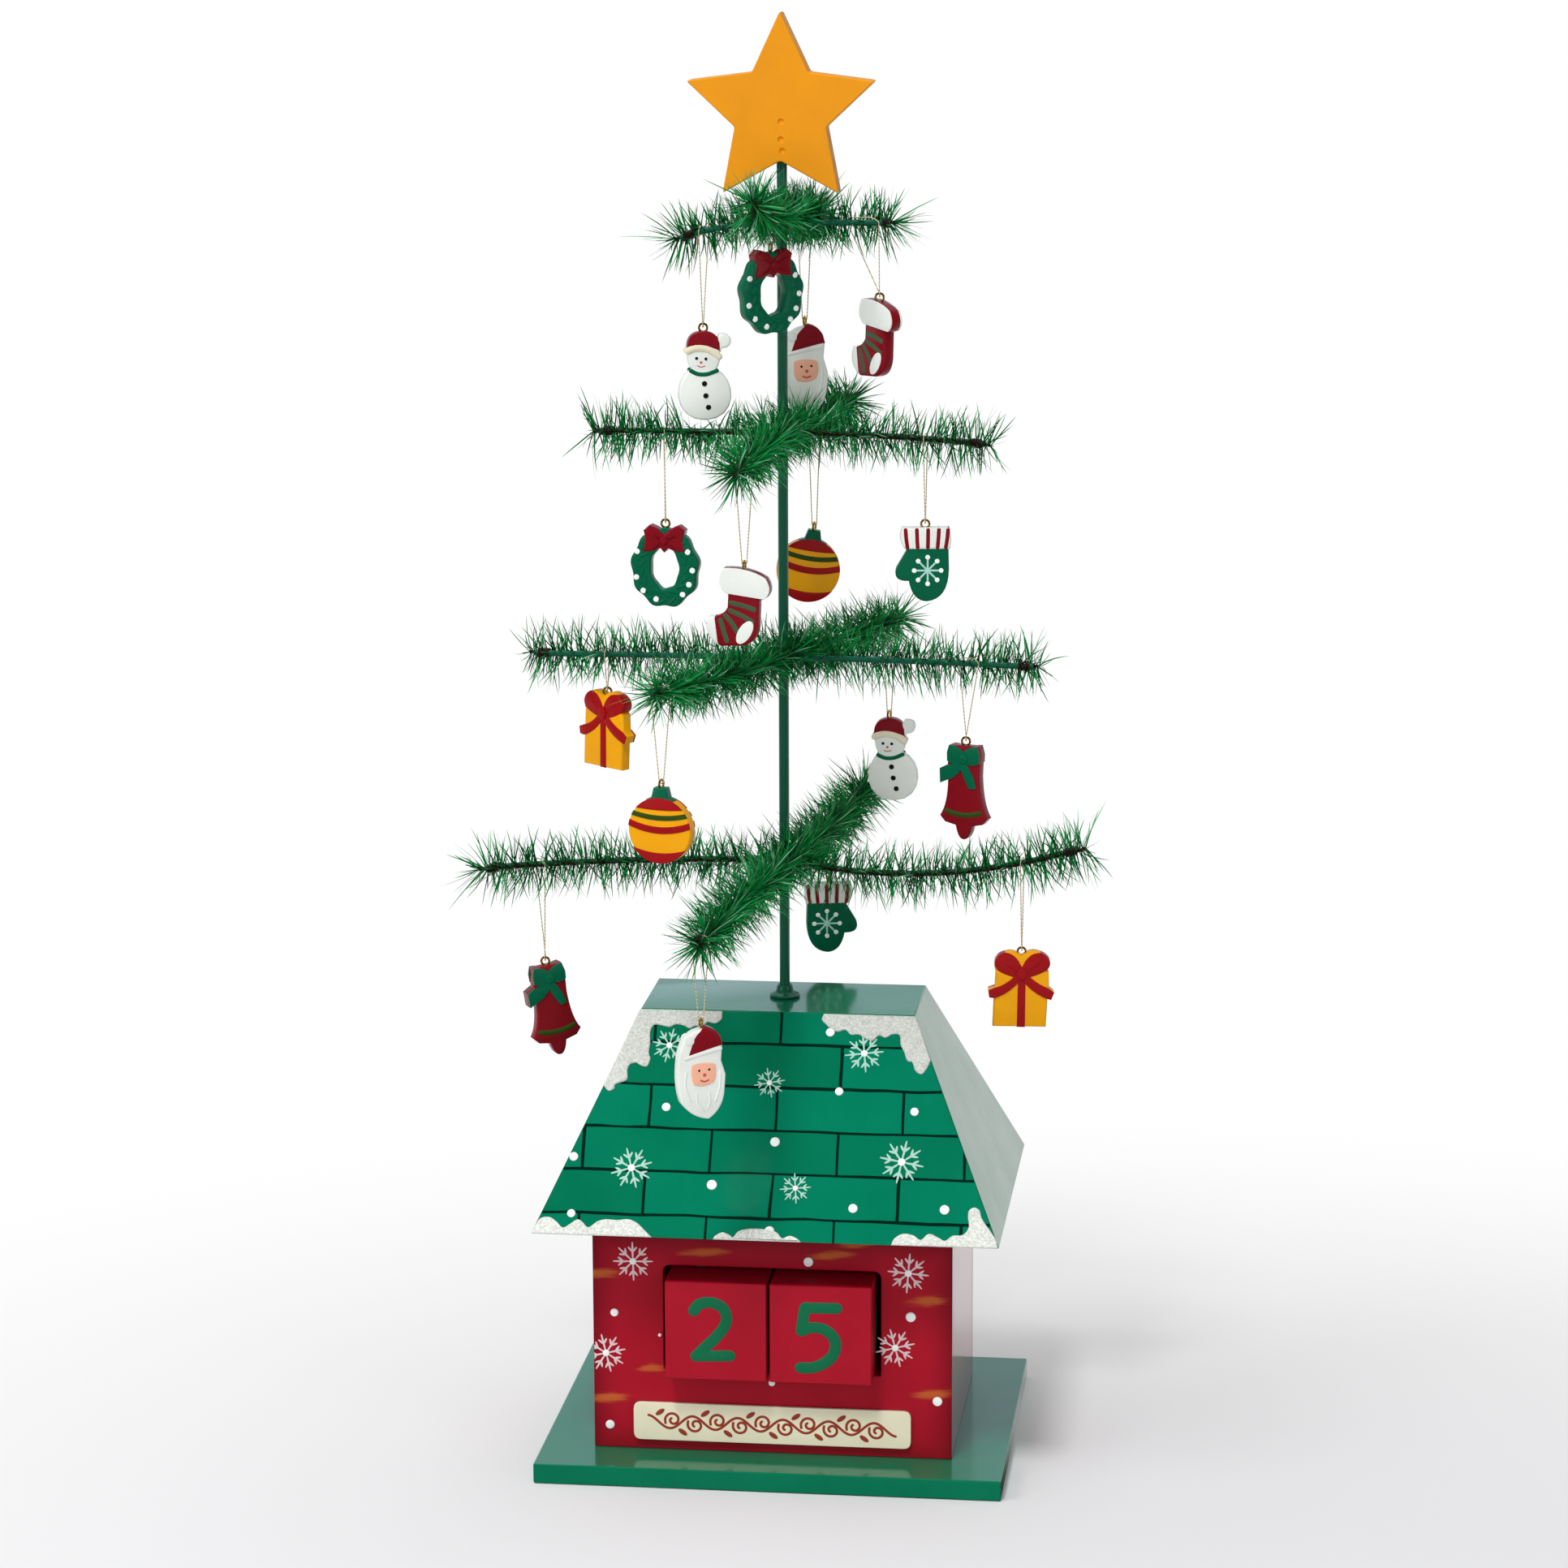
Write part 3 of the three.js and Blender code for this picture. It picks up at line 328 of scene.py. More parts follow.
def modify(obj, name, kind, **settings):
    """Adds a modifier with its settings and applies it."""
    modifier = obj.modifiers.new(name, kind)
    for key, value in settings.items():
        setattr(modifier, key, value)
    pick(obj)
    bpy.ops.object.modifier_apply(modifier=modifier.name)


def paint_all(obj, material):
    """Gives a piece its one material."""
    obj.data.materials.clear()
    obj.data.materials.append(material)


def close_mesh(obj, merge=1e-6):
    """Merges doubles and turns every face outwards."""
    edit_all(obj)
    bpy.ops.mesh.remove_doubles(threshold=merge)
    bpy.ops.mesh.normals_make_consistent(inside=False)
    bpy.ops.object.mode_set(mode="OBJECT")
    return obj


def curve_to_mesh(name, curve):
    """Turns a curve into a closed mesh object."""
    pick(placed(name, curve))
    bpy.ops.object.convert(target="MESH")
    obj = bpy.context.active_object
    obj.name = name
    return close_mesh(obj)


def stand(obj, origin, right, up):
    """Places a flat piece: its X runs to the right, its Y up, and its Z out of the surface."""
    right, up = Vector(right).normalized(), Vector(up).normalized()
    turn = Matrix((right, up, right.cross(up))).transposed().to_4x4()
    obj.matrix_world = Matrix.Translation(Vector(origin)) @ turn
    settle(obj)


def smooth(obj, degrees):
    """Shades smoothly, except over edges sharper than an angle."""
    pick(obj)
    bpy.ops.object.shade_smooth_by_angle(angle=math.radians(degrees))
    return obj


def join(name, objects):
    """Joins meshes into one piece."""
    pick(objects[0])
    for obj in objects:
        obj.select_set(True)
    if len(objects) > 1:
        bpy.ops.object.join()
    piece = bpy.context.active_object
    piece.name = name
    return piece


def finished(piece, body, slot, *nodes):
    """Lets a piece ride on its body and hides the nodes that it stands for. The slot is not used."""
    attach(piece, body)
    if nodes:
        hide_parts(*nodes)
    return piece


# %% Boards with softened edges
def board(node, material, slot, body="house", grow=(0, 0, 0), edge=0.4):
    """A copy of a CAD board, grown over its fitting gaps, with sanded edges."""
    piece = placed(node + "_painted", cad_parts[node].data.copy())
    close_mesh(piece, merge=1e-5)
    low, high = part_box(node)
    size = high - low
    factors = [1 + grow[i] * MM / size[i] for i in range(3)]
    edit_all(piece)
    bpy.ops.mesh.dissolve_limited(angle_limit=math.radians(1))
    bpy.ops.transform.resize(value=factors, center_override=(low + high) / 2)
    bpy.ops.object.mode_set(mode="OBJECT")
    modify(piece, "sanded", "BEVEL", width=edge * MM, segments=3, limit_method="ANGLE",
           angle_limit=math.radians(30))
    paint_all(piece, material)
    smooth(piece, 50)
    modify(piece, "evened", "WEIGHTED_NORMAL", keep_sharp=True)
    return finished(piece, body, slot, node)


# %% [markdown]
# ## Base board and walls
# The base and the walls are plain boards in gloss enamel. The front wall is more than plain: it has a few
# soft airbrushed ochre streaks, and painted shade darkens its red towards its edges, most of all under
# the eave. Neither has thickness that shows, so both belong in the material, measured from the wall's own
# corners.

# %% Front wall: ochre streaks and painted shade
wall_low, wall_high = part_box("front_wall")
streak_lean, drag_lean = math.radians(5), math.radians(8)
drag_along, drag_across = 9, 1.1
# The lightest part of the wall lies this far below its middle, so the painted shade is deepest under the
# eave.
light_drop = 4
any_depth = 1000
# Each streak has its middle's x and z, its half length and its half height.
ochre_streaks = [
    (-26.2, 89.9, 13.0, 2.2), (23.7, 90.3, 12.0, 2.2), (-68.0, 79.8, 11.0, 2.6), (61.0, 73.0, 10.0, 2.8),
    (-48.2, 41.3, 7.0, 2.4), (-64.5, 28.5, 11.0, 2.8), (63.3, 34.8, 10.0, 2.6), (33.0, 95.0, 9.0, 1.8),
]
front_enamel, tree = new_material("airbrushed_crimson_enamel_with_painted_shade")
place = add_node(tree, "TexCoord").outputs["Object"]
drag = add_node(tree, "Mapping", None, {
    "Vector": place, "Rotation": (0, drag_lean, 0),
    "Scale": (1 / (drag_along * MM), 0, 1 / (drag_across * MM))})
wobble = add_node(tree, "TexNoise", None, {"Vector": drag.outputs[0], "Scale": 1.0, "Detail": 2.0})
streaks = 0.0
for x, z, run, rise in ochre_streaks:
    centred = add_node(tree, "Mapping", {"vector_type": "TEXTURE"}, {
        "Vector": place, "Location": (x * MM, 0, z * MM), "Rotation": (0, -streak_lean, 0),
        "Scale": (run * MM, any_depth, rise * MM)})
    reach = add_node(tree, "VectorMath", {"operation": "LENGTH"}, {0: centred.outputs[0]})
    ragged = add_node(tree, "Math", {"operation": "ADD"}, {
        0: reach.outputs["Value"], 1: wobble.outputs[0]})
    mist = add_node(tree, "MapRange", {"interpolation_type": "SMOOTHSTEP"}, {
        "Value": ragged.outputs[0], "From Min": 0.75, "From Max": 1.5, "To Min": 0.72, "To Max": 0.0})
    streaks = add_node(tree, "Math", {"operation": "MAXIMUM"}, {
        0: streaks, 1: mist.outputs[0]}).outputs[0]
# Painted shade: the red darkens towards the wall's edges, and most of all under the eave.
half_width = (wall_high.x - wall_low.x) / 2
half_height = (wall_high.z - wall_low.z) / 2
light_z = (wall_high.z + wall_low.z) / 2 - light_drop * MM
inward = add_node(tree, "Mapping", {"vector_type": "TEXTURE"}, {
    "Vector": place, "Location": (0, 0, light_z), "Scale": (half_width, any_depth, half_height)})
square = add_node(tree, "VectorMath", {"operation": "MULTIPLY"}, {
    0: inward.outputs[0], 1: inward.outputs[0]})
parts = add_node(tree, "SeparateXYZ", None, {0: square.outputs[0]})
edge_x = add_node(tree, "Math", {"operation": "POWER"}, {0: parts.outputs["X"], 1: 4.0})
edge_z = add_node(tree, "Math", {"operation": "POWER"}, {0: parts.outputs["Z"], 1: 2.0})
rim = add_node(tree, "Math", {"operation": "MAXIMUM"}, {0: edge_x.outputs[0], 1: edge_z.outputs[0]})
painted_shade = add_node(tree, "MapRange", None, {
    "Value": rim.outputs[0], "From Min": 0.25, "From Max": 1.15, "To Min": 0.0, "To Max": 0.8})
# Painted shade: the middle's red turns into a deep red at the edges.
red = add_node(tree, "Mix", {"data_type": "RGBA"}, {
    0: painted_shade.outputs[0], 6: linear("#A91227"), 7: linear("#5A0712")})
streaked = add_node(tree, "Mix", {"data_type": "RGBA"}, {
    0: streaks, 6: red.outputs[2], 7: linear("#C4662C")})
painted_wood(tree, streaked.outputs[2], 0.35, **varnished)
print("ochre streaks", len(ochre_streaks))

# %% Base and walls
base = board("base_board", green_enamel, "green_paint", edge=0.7)
board("front_wall", front_enamel, "crimson_paint", grow=(0, 0, 0.5))
board("back_wall", crimson_enamel, "crimson_paint", grow=(0, 0, 0.5))
for side in ("left", "right"):
    board(side + "_wall", crimson_enamel, "crimson_paint", grow=(0, 0.55, 0.5))
board("block_tray", crimson_enamel, "crimson_paint", edge=0.2)
print("base", [round(s / MM, 1) for s in base.dimensions])

# %% [markdown]
# ## Roof
# Four boards with mitred corners lean against a flat cap. Only the front one is painted with bricks: a
# running bond of long, low bricks between dark brushed lines. Blender's brick texture draws just that
# once its coordinates lie in the slope, so a mapping node tips the object's own coordinates by the
# slope's angle. A little noise makes the lines as unsteady as a hand does.

# %% Brick enamel for the front slope
roof_low, roof_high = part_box("roof_front")
roof_back_y = -29.0 * MM
slope = Vector((0, roof_back_y - roof_low.y, roof_high.z - roof_low.z))
slope_length = slope.length
slope_up = slope.normalized()
slope_angle = math.atan2(slope.z, slope.y)
slope_foot = Vector((0, roof_low.y, roof_low.z))

brick_width, brick_height = 49.6, 17.45
first_course, joint_x = 9.1, 1.8
shake_size, shake_reach = 24, 1.8
thin_line, thick_line = 0.50, 0.80
brick_enamel, tree = new_material("brick_painted_green_enamel")
place = add_node(tree, "TexCoord").outputs["Object"]
along = -slope_foot.dot(slope_up) + (brick_height - first_course) * MM
tipped = add_node(tree, "Mapping", None, {
    "Vector": place, "Rotation": (-slope_angle, 0, 0), "Location": (-joint_x * MM, along, 0)})
shake = add_node(tree, "TexNoise", None, {"Vector": place, "Scale": 1 / (shake_size * MM), "Detail": 1.0})
shaken = add_node(tree, "VectorMath", {"operation": "SUBTRACT"}, {
    0: shake.outputs["Color"], 1: (0.5, 0.5, 0.5)})
shaken = add_node(tree, "VectorMath", {"operation": "SCALE"}, {
    0: shaken.outputs[0], "Scale": shake_reach * MM})
course = add_node(tree, "VectorMath", {"operation": "ADD"}, {
    0: tipped.outputs[0], 1: shaken.outputs[0]})
thick = add_node(tree, "MapRange", None, {
    "Value": shake.outputs[0], "From Min": 0.3, "From Max": 0.7,
    "To Min": thin_line * MM, "To Max": thick_line * MM})
bricks = add_node(tree, "TexBrick", {"offset": 0.5, "offset_frequency": 2}, {
    "Vector": course.outputs[0], "Color1": linear("#00795A"), "Color2": linear("#006D4C"),
    "Mortar": linear("#00231A"), "Scale": 1.0, "Mortar Size": thick.outputs[0], "Mortar Smooth": 0.25,
    "Bias": 0.0, "Brick Width": brick_width * MM, "Row Height": brick_height * MM})
painted_wood(tree, bricks.outputs["Color"], 0.35, **varnished)

# %% Roof boards
mitre_gap = 0.28
for side, material in (("front", brick_enamel), ("back", green_enamel), ("left", green_enamel),
                       ("right", green_enamel)):
    grow = (mitre_gap, 0, 0) if side in ("front", "back") else (0, mitre_gap, 0)
    board("roof_" + side, material, "green_paint", grow=grow, edge=0.5)
board("roof_cap", green_enamel, "green_paint", grow=(0.6, 0.6, 0), edge=0.05)
board("roof_soffit", green_enamel, "green_paint", edge=0.2)
print("slope", round(slope_length / MM, 2), "mm at", round(math.degrees(slope_angle), 1), "degrees")

# %% [markdown]
# ## Drawing with outlines
# The painted decoration and the ornaments are flat shapes, so they begin as outlines in millimetres: a
# short list of moves, lines and curves. An outline becomes a plate, which is a filled 2-D curve with some
# depth and a small round on its edge, just as thick paint or sawn plywood has. A line becomes a brush
# stroke: a rod with round ends that is pressed flat.

# %% Outlines, plates and strokes
def trace(path):
    """Follows M, L, Q and C commands and returns points in millimetres."""
    counts = {"M": 2, "L": 2, "Q": 4, "C": 6}
    steps = 8
    points, numbers, kind = [], [], None
    for word in path.split():
        if word in counts:
            kind = word
            continue
        numbers.append(float(word))
        if len(numbers) < counts[kind]:
            continue
        controls = [Vector(pair) for pair in zip(numbers[::2], numbers[1::2])]
        numbers = []
        if kind in "ML":
            points.append(controls[0])
            continue
        controls.insert(0, points[-1])
        for step in range(1, steps + 1):
            row = controls
            while len(row) > 1:
                row = [a.lerp(b, step / steps) for a, b in zip(row, row[1:])]
            points.append(row[0])
    return points


def oval(x, y, half_x, half_y, tilt=0, count=28):
    """An ellipse, turned by some degrees."""
    turn = Matrix.Rotation(math.radians(tilt), 2)
    angles = [math.tau * i / count for i in range(count)]
    return [Vector((x, y)) + turn @ Vector((half_x * math.cos(a), half_y * math.sin(a)))
            for a in angles]


def keep_left(points, start, end):
    """Cuts an outline and keeps what lies left of the line from start to end."""
    start, end = Vector(start), Vector(end)
    normal = Vector((start.y - end.y, end.x - start.x))
    sides = [normal.dot(point - start) for point in points]
    kept = []
    for i, point in enumerate(points):
        j = (i + 1) % len(points)
        if sides[i] >= 0:
            kept.append(point)
        if sides[i] * sides[j] < 0:
            kept.append(point.lerp(points[j], sides[i] / (sides[i] - sides[j])))
    return kept


def eased(points, steps):
    """Rounds a hand-drawn line through its points."""
    points = [Vector(p) for p in points]
    ends = [2 * points[0] - points[1]] + points + [2 * points[-1] - points[-2]]
    line = []
    for a, b, c, d in zip(ends, ends[1:], ends[2:], ends[3:]):
        for step in range(steps):
            t = step / steps
            line.append(0.5 * (2 * b + (c - a) * t + (2 * a - 5 * b + 4 * c - d) * t ** 2
                               + (3 * b - a - 3 * c + d) * t ** 3))
    return line + [points[-1]]


def in_metres(obj, material, heights=1.0):
    """Scales a piece drawn in millimetres, gives it its paint and smooths it."""
    obj.scale = (MM, MM, MM * heights)
    paint_all(settle(obj), material)
    return smooth(obj, 50)


def plate(name, outlines, thickness, edge, material, grow=0.0):
    """A flat shape with rounded edges; a second outline inside the first is a hole."""
    curve = bpy.data.curves.new(name, "CURVE")
    curve.dimensions = "2D"
    curve.fill_mode = "BOTH"
    curve.extrude = thickness / 2 - edge
    curve.bevel_depth = edge
    curve.bevel_resolution = 2
    curve.offset = grow - edge
    for outline in outlines:
        spline = curve.splines.new("POLY")
        spline.points.add(len(outline) - 1)
        for point, (x, y) in zip(spline.points, outline):
            point.co = (x, y, 0, 1)
        spline.use_cyclic_u = True
    return in_metres(curve_to_mesh(name, curve), material)


def strokes(name, lines, width, height, material, roundness=2, pressure=None):
    """Brush strokes that stand a height proud; a pressure widens or narrows them along the way."""
    cap = [math.radians(a) for a in (82, 55, 27)]
    curve = bpy.data.curves.new(name, "CURVE")
    curve.dimensions = "3D"
    curve.bevel_depth = width / 2
    curve.bevel_resolution = roundness
    curve.use_fill_caps = True
    for line in lines:
        line = [Vector(p) for p in line]
        back, ahead = (line[0] - line[1]).normalized(), (line[-1] - line[-2]).normalized()
        first, last = (pressure(0.0), pressure(1.0)) if pressure else (1.0, 1.0)
        rod = [(line[0] + back * math.sin(a) * first * width / 2, math.cos(a) * first) for a in cap]
        press = [pressure(i / (len(line) - 1)) if pressure else 1.0 for i in range(len(line))]
        rod += list(zip(line, press))
        rod += [(line[-1] + ahead * math.sin(a) * last * width / 2, math.cos(a) * last)
                for a in reversed(cap)]
        spline = curve.splines.new("POLY")
        spline.points.add(len(rod) - 1)
        for point, (place, radius) in zip(spline.points, rod):
            point.co = (place.x, place.y, 0, 1)
            point.radius = radius
    return in_metres(curve_to_mesh(name, curve), material, height / (width / 2))


def copied(name, source):
    """A copy with its own mesh."""
    return placed(name, source.data.copy())


def remove(obj):
    """Takes away a model that was only copied from."""
    bpy.data.objects.remove(obj, do_unlink=True)


print("a quarter circle has", len(trace("M 0 1 Q 1 1 1 0")), "points")

# %% [markdown]
# ## Filler over the roof's top
# The joints between the cap and the four boards are filled and painted over on the real roof, so its top
# is one even face. A film of filler, a tenth of a millimetre proud, covers them.

# %% Roof top film
cap_low, cap_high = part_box("roof_cap")
film_x, film_thickness, film_proud = 54.0, 0.9, 0.1
film_low_y = roof_back_y / MM
film_high_y = (cap_low.y + cap_high.y) / MM - film_low_y
film_corners = [(-film_x, film_low_y), (film_x, film_low_y),
                (film_x, film_high_y), (-film_x, film_high_y)]
film = plate("roof_top_film", [film_corners], film_thickness, 0.4, green_enamel)
film_middle = cap_high.z + (film_proud - film_thickness / 2) * MM
stand(film, (0, 0, film_middle), (1, 0, 0), (0, 1, 0))
finished(film, "house", "green_paint")
print("film", [round(s / MM, 1) for s in film.dimensions], "cap top", round(cap_high.z / MM, 2))

# %% [markdown]
# ## Snow, flakes and dots on the front
# Glitter snow hangs in lobes from the corners of the roof and lies along the eave. It was piped on as
# thick paste, so it is a plate with well rounded edges; its colour is whiter towards the eave. Flakes and
# dots are thinner: the dots are drops from the end of a brush handle, the flakes eight strokes with two
# barbs each around a dot. One flake is drawn and copied to its places, each with its own size and turn.

# %% Glitter snow paste
# Acrylic paste with glitter: a lumpy, pale grey-white crust in which single grains flash.
grain_size, lump_size, crust_depth = 0.6, 1.5, 0.10
glitter_snow, tree = new_material("white_glitter_paste")
place = add_node(tree, "TexCoord").outputs["Object"]
grains = add_node(tree, "TexVoronoi", None, {"Vector": place, "Scale": 1 / (grain_size * MM)})
spread = add_node(tree, "SeparateColor", None, {0: grains.outputs["Color"]})
shades = add_node(tree, "ValToRGB", None, {0: spread.outputs[0]})
shades.color_ramp.elements[0].color = linear("#B6BAB3")
shades.color_ramp.elements[1].color = linear("#D8DAD4")
rise = add_node(tree, "SeparateXYZ", None, {0: place}).outputs["Z"]
# The paste's colour is made whiter towards the eave and greyer towards the roof's top.
whiter_towards_eave = add_node(tree, "MapRange", None, {
    "Value": rise, "From Min": roof_low.z, "From Max": roof_high.z, "To Min": 1.22, "To Max": 0.96})
whiter = add_node(tree, "VectorMath", {"operation": "SCALE"}, {
    0: shades.outputs[0], "Scale": whiter_towards_eave.outputs[0]})
lump = add_node(tree, "TexNoise", None, {"Vector": place, "Scale": 1 / (lump_size * MM), "Detail": 3.0})
height = add_node(tree, "Math", {"operation": "ADD"}, {0: lump.outputs[0], 1: spread.outputs[1]})
bump = add_node(tree, "Bump", None, {
    "Height": height.outputs[0], "Distance": crust_depth * MM, "Strength": 1.0})
flash = add_node(tree, "MapRange", None, {
    "Value": spread.outputs[2], "From Min": 0.75, "From Max": 0.95, "To Min": 0.75, "To Max": 0.15})
shader = add_node(tree, "BsdfPrincipled", None, {
    "Base Color": whiter.outputs[0], "Roughness": flash.outputs[0], "IOR": 1.5,
    "Normal": bump.outputs[0]})
add_node(tree, "OutputMaterial", None, {"Surface": shader.outputs[0]})
print("grains", grain_size, "mm")

# %% Snow on the slope
# Points in millimetres: across the roof from its middle, and up the slope from the eave.
snow_lobes = {
    "top_left": [
        (-21.8, 91.9), (-21.9, 88.6), (-24.4, 86.8), (-27.3, 87.3), (-29.3, 85.4), (-32.2, 85.6),
        (-34.3, 84.4), (-36.5, 85.5), (-39.8, 86), (-42.2, 84.8), (-45.1, 85.3), (-48.4, 85.5),
        (-49.7, 82.6), (-49.4, 78.2), (-49.7, 74.2), (-48.9, 71.6), (-50.1, 68.6), (-52.6, 68.8),
        (-54.5, 69.9), (-56.9, 69.1), (-57.7, 66.6), (-57.5, 63.2), (-60, 61.7), (-62.1, 60.9),
        (-62.4, 59.1), (-64.7, 58.2), (-66.7, 60.3)],
    "top_right": [
        (61.1, 74.3), (60, 71.4), (57.9, 68.5), (55.2, 69.9), (54, 73.1), (51.9, 73.8), (50.6, 77.1),
        (49, 80.3), (48.5, 84), (45.7, 84.3), (42.9, 82.8), (40.3, 83.7), (38, 81.5), (35.1, 82.3),
        (32.2, 83.9), (29.4, 83.6), (27.1, 85.6), (24.3, 84.7), (21.7, 85.7), (19.9, 87.1), (17.6, 89.4),
        (18.3, 91.9)],
    "bottom_left": [
        (-90.8, 0.2), (-89.2, 4), (-87.4, 6.5), (-83.9, 6.9), (-80.9, 5), (-78.6, 2.9), (-75.8, 4.5),
        (-73.1, 6.4), (-70.9, 5.3), (-68.6, 3.3), (-65.3, 5.8), (-61.8, 6.8), (-57.5, 6.6),
        (-53.3, 7.1), (-49.7, 5.8), (-46.6, 3), (-43.6, 0.2)],
    "bottom_middle": [
        (-19.7, 0.2), (-19, 1.6), (-16.2, 3.1), (-13.4, 2.2), (-11.9, 1.3), (-9.9, 3.8), (-5.1, 4.9),
        (0.6, 4.8), (4.9, 3.8), (7.1, 1.5), (9.9, 2.6), (12.7, 1.7), (14.5, 0.2)],
    "bottom_right": [
        (49.3, 0.2), (50.5, 2.9), (53.9, 4.9), (58.1, 4.2), (60.7, 2.6), (63.7, 5.2), (67.2, 3.9),
        (70.1, 2.6), (72.8, 4.7), (76.9, 5.2), (78.9, 8.2), (78.5, 11.7), (78.6, 14.6), (80.6, 16.1),
        (82.8, 15), (83.8, 11.9), (86.3, 8.4), (88.3, 5.6), (89.6, 3.6), (90.6, 0.2)],
}
roof_corners = {"top_left": [(-54.3, 91.9)], "top_right": [(54.3, 91.9)]}
snow_depth, snow_edge = 1.5, 0.6
for name, lobes in snow_lobes.items():
    outline = eased(lobes, 3) + [Vector(corner) for corner in roof_corners.get(name, [])]
    snow = plate("snow_" + name, [outline], snow_depth, snow_edge, glitter_snow)
    stand(snow, slope_foot, (1, 0, 0), slope_up)
    finished(snow, "house", "ornament_white")
print("snow patches", len(snow_lobes))

# %% Flakes
# White craft paint brushed so thin that the colour under it shows through.
thin_on_green = enamel("thin_white_over_green", "#A9CFC1", 0.5, **dabbed)
thin_on_crimson = enamel("thin_white_over_crimson", "#DCC5C8", 0.5, **dabbed)
flake_reach, flake_arms, arm_start = 7.5, 8, 1.0
fork_share, barb_share, barb_spread = 0.50, 0.24, 0.85
arm_lines, barb_lines = [], []
for number in range(flake_arms):
    angle = math.tau * number / flake_arms
    along = Vector((math.cos(angle), math.sin(angle)))
    across = Vector((-math.sin(angle), math.cos(angle)))
    arm_lines.append([along * (arm_start + (flake_reach - arm_start) * i / 6) for i in range(7)])
    for side in (-1, 1):
        fork = along * flake_reach * fork_share
        barb = (along + side * across * barb_spread) * flake_reach * barb_share
        barb_lines.append([fork + barb * i / 4 for i in range(5)])


def leaf_pressure(share):
    """A brush that is laid down thin, pressed and lifted again."""
    return 0.35 + 0.65 * math.sin(math.pi * min(share * 0.75 + 0.12, 1))


flake = join("flake", [
    strokes("flake_arms", arm_lines, 0.80, 0.13, thin_on_green, 1, leaf_pressure),
    strokes("flake_barbs", barb_lines, 0.85, 0.12, thin_on_green, 1, leaf_pressure),
    plate("flake_centre", [oval(0, 0, 1.35, 1.35, count=20)], 0.7, 0.3, white_dabs)])
dot = plate("dot", [oval(0, 0, 1.9, 1.9, count=24)], 1.0, 0.45, white_dabs)
print("flake", len(flake.data.polygons), "faces, dot", len(dot.data.polygons))

# %% Flakes and dots in their places
hand = random.Random(24)
most_turn = 0.3


def dab(model, name, x, along, size, origin, up):
    """Copies a flake or a dot to a place on the front wall or the front slope."""
    right = Vector((1, 0, 0))
    mark = copied(name, model)
    turn = Matrix.Rotation(hand.uniform(-most_turn, most_turn), 4, "Z")
    mark.matrix_world = turn @ Matrix.Diagonal((size, size, 1, 1))
    settle(mark)
    stand(mark, Vector(origin) + (right * x + Vector(up) * along) * MM, right, up)
    return finished(mark, "house", "ornament_white")


# Flakes have x, the way up and their reach; dots have x and the way up, those on the wall also a size.
roof_flakes = [(35, 76.3, 7.4), (-1.5, 63.4, 5.9), (-41.8, 77.4, 6.8), (-53.4, 27.6, 8),
               (51.8, 33.2, 8.4), (11.1, 21.5, 5.9)]
roof_dots = [(26, 60.7), (55.8, 53.4), (2.1, 39.7), (-76.4, 31.4), (-21.5, 21.8), (33.9, 14.2),
             (69.3, 14.8), (-41.4, 52.4), (-75.7, 8.7), (2, 4.2), (21.2, 84.5)]
for i, (x, along, reach) in enumerate(roof_flakes):
    dab(flake, f"roof_flake_{i + 1}", x, along, reach / flake_reach, slope_foot, slope_up)
for i, (x, along) in enumerate(roof_dots):
    dab(dot, f"roof_dot_{i + 1}", x, along, hand.uniform(0.85, 1.05), slope_foot, slope_up)

wall_front = (0, wall_low.y, 0)
wall_flakes = [(-54.9, 85.2, 7.7), (53.7, 84, 7.9), (-66, 47, 7.7), (48.6, 53.3, 7.7)]
wall_dots = [(14.5, 87.3, 1), (-62.5, 63.9, 0.85), (54.7, 66.2, 1.05), (65.3, 31.9, 1),
             (-64.7, 17.4, 0.95), (-0.1, 37.1, 0.7), (-24.6, 38.8, 0.4), (-44.5, 55.2, 0.35)]
for i, (x, z, reach) in enumerate(wall_flakes):
    mark = dab(flake, f"wall_flake_{i + 1}", x, z, reach / flake_reach, wall_front, (0, 0, 1))
    mark.data.materials[0] = thin_on_crimson
    if x * MM - reach * MM < wall_low.x:
        edit_all(mark)
        bpy.ops.mesh.bisect(plane_co=(wall_low.x + 0.3 * MM, 0, 0), plane_no=(-1, 0, 0),
                            clear_outer=True, use_fill=True)
        bpy.ops.object.mode_set(mode="OBJECT")
for i, (x, z, size) in enumerate(wall_dots):
    dab(dot, f"wall_dot_{i + 1}", x, z, size, wall_front, (0, 0, 1))
remove(flake)
remove(dot)
print("flakes", len(roof_flakes) + len(wall_flakes), "dots", len(roof_dots) + len(wall_dots))

# %% [markdown]
# ## Sign plaque
# The plaque is a thin cream board with round corners, pinned under the blocks. It carries a painted
# scroll in red-brown brushwork: a running vine with curls and leaves. The vine is a wave, and each of
# its bends gets one curl and one leaf, so a single loop draws them all.

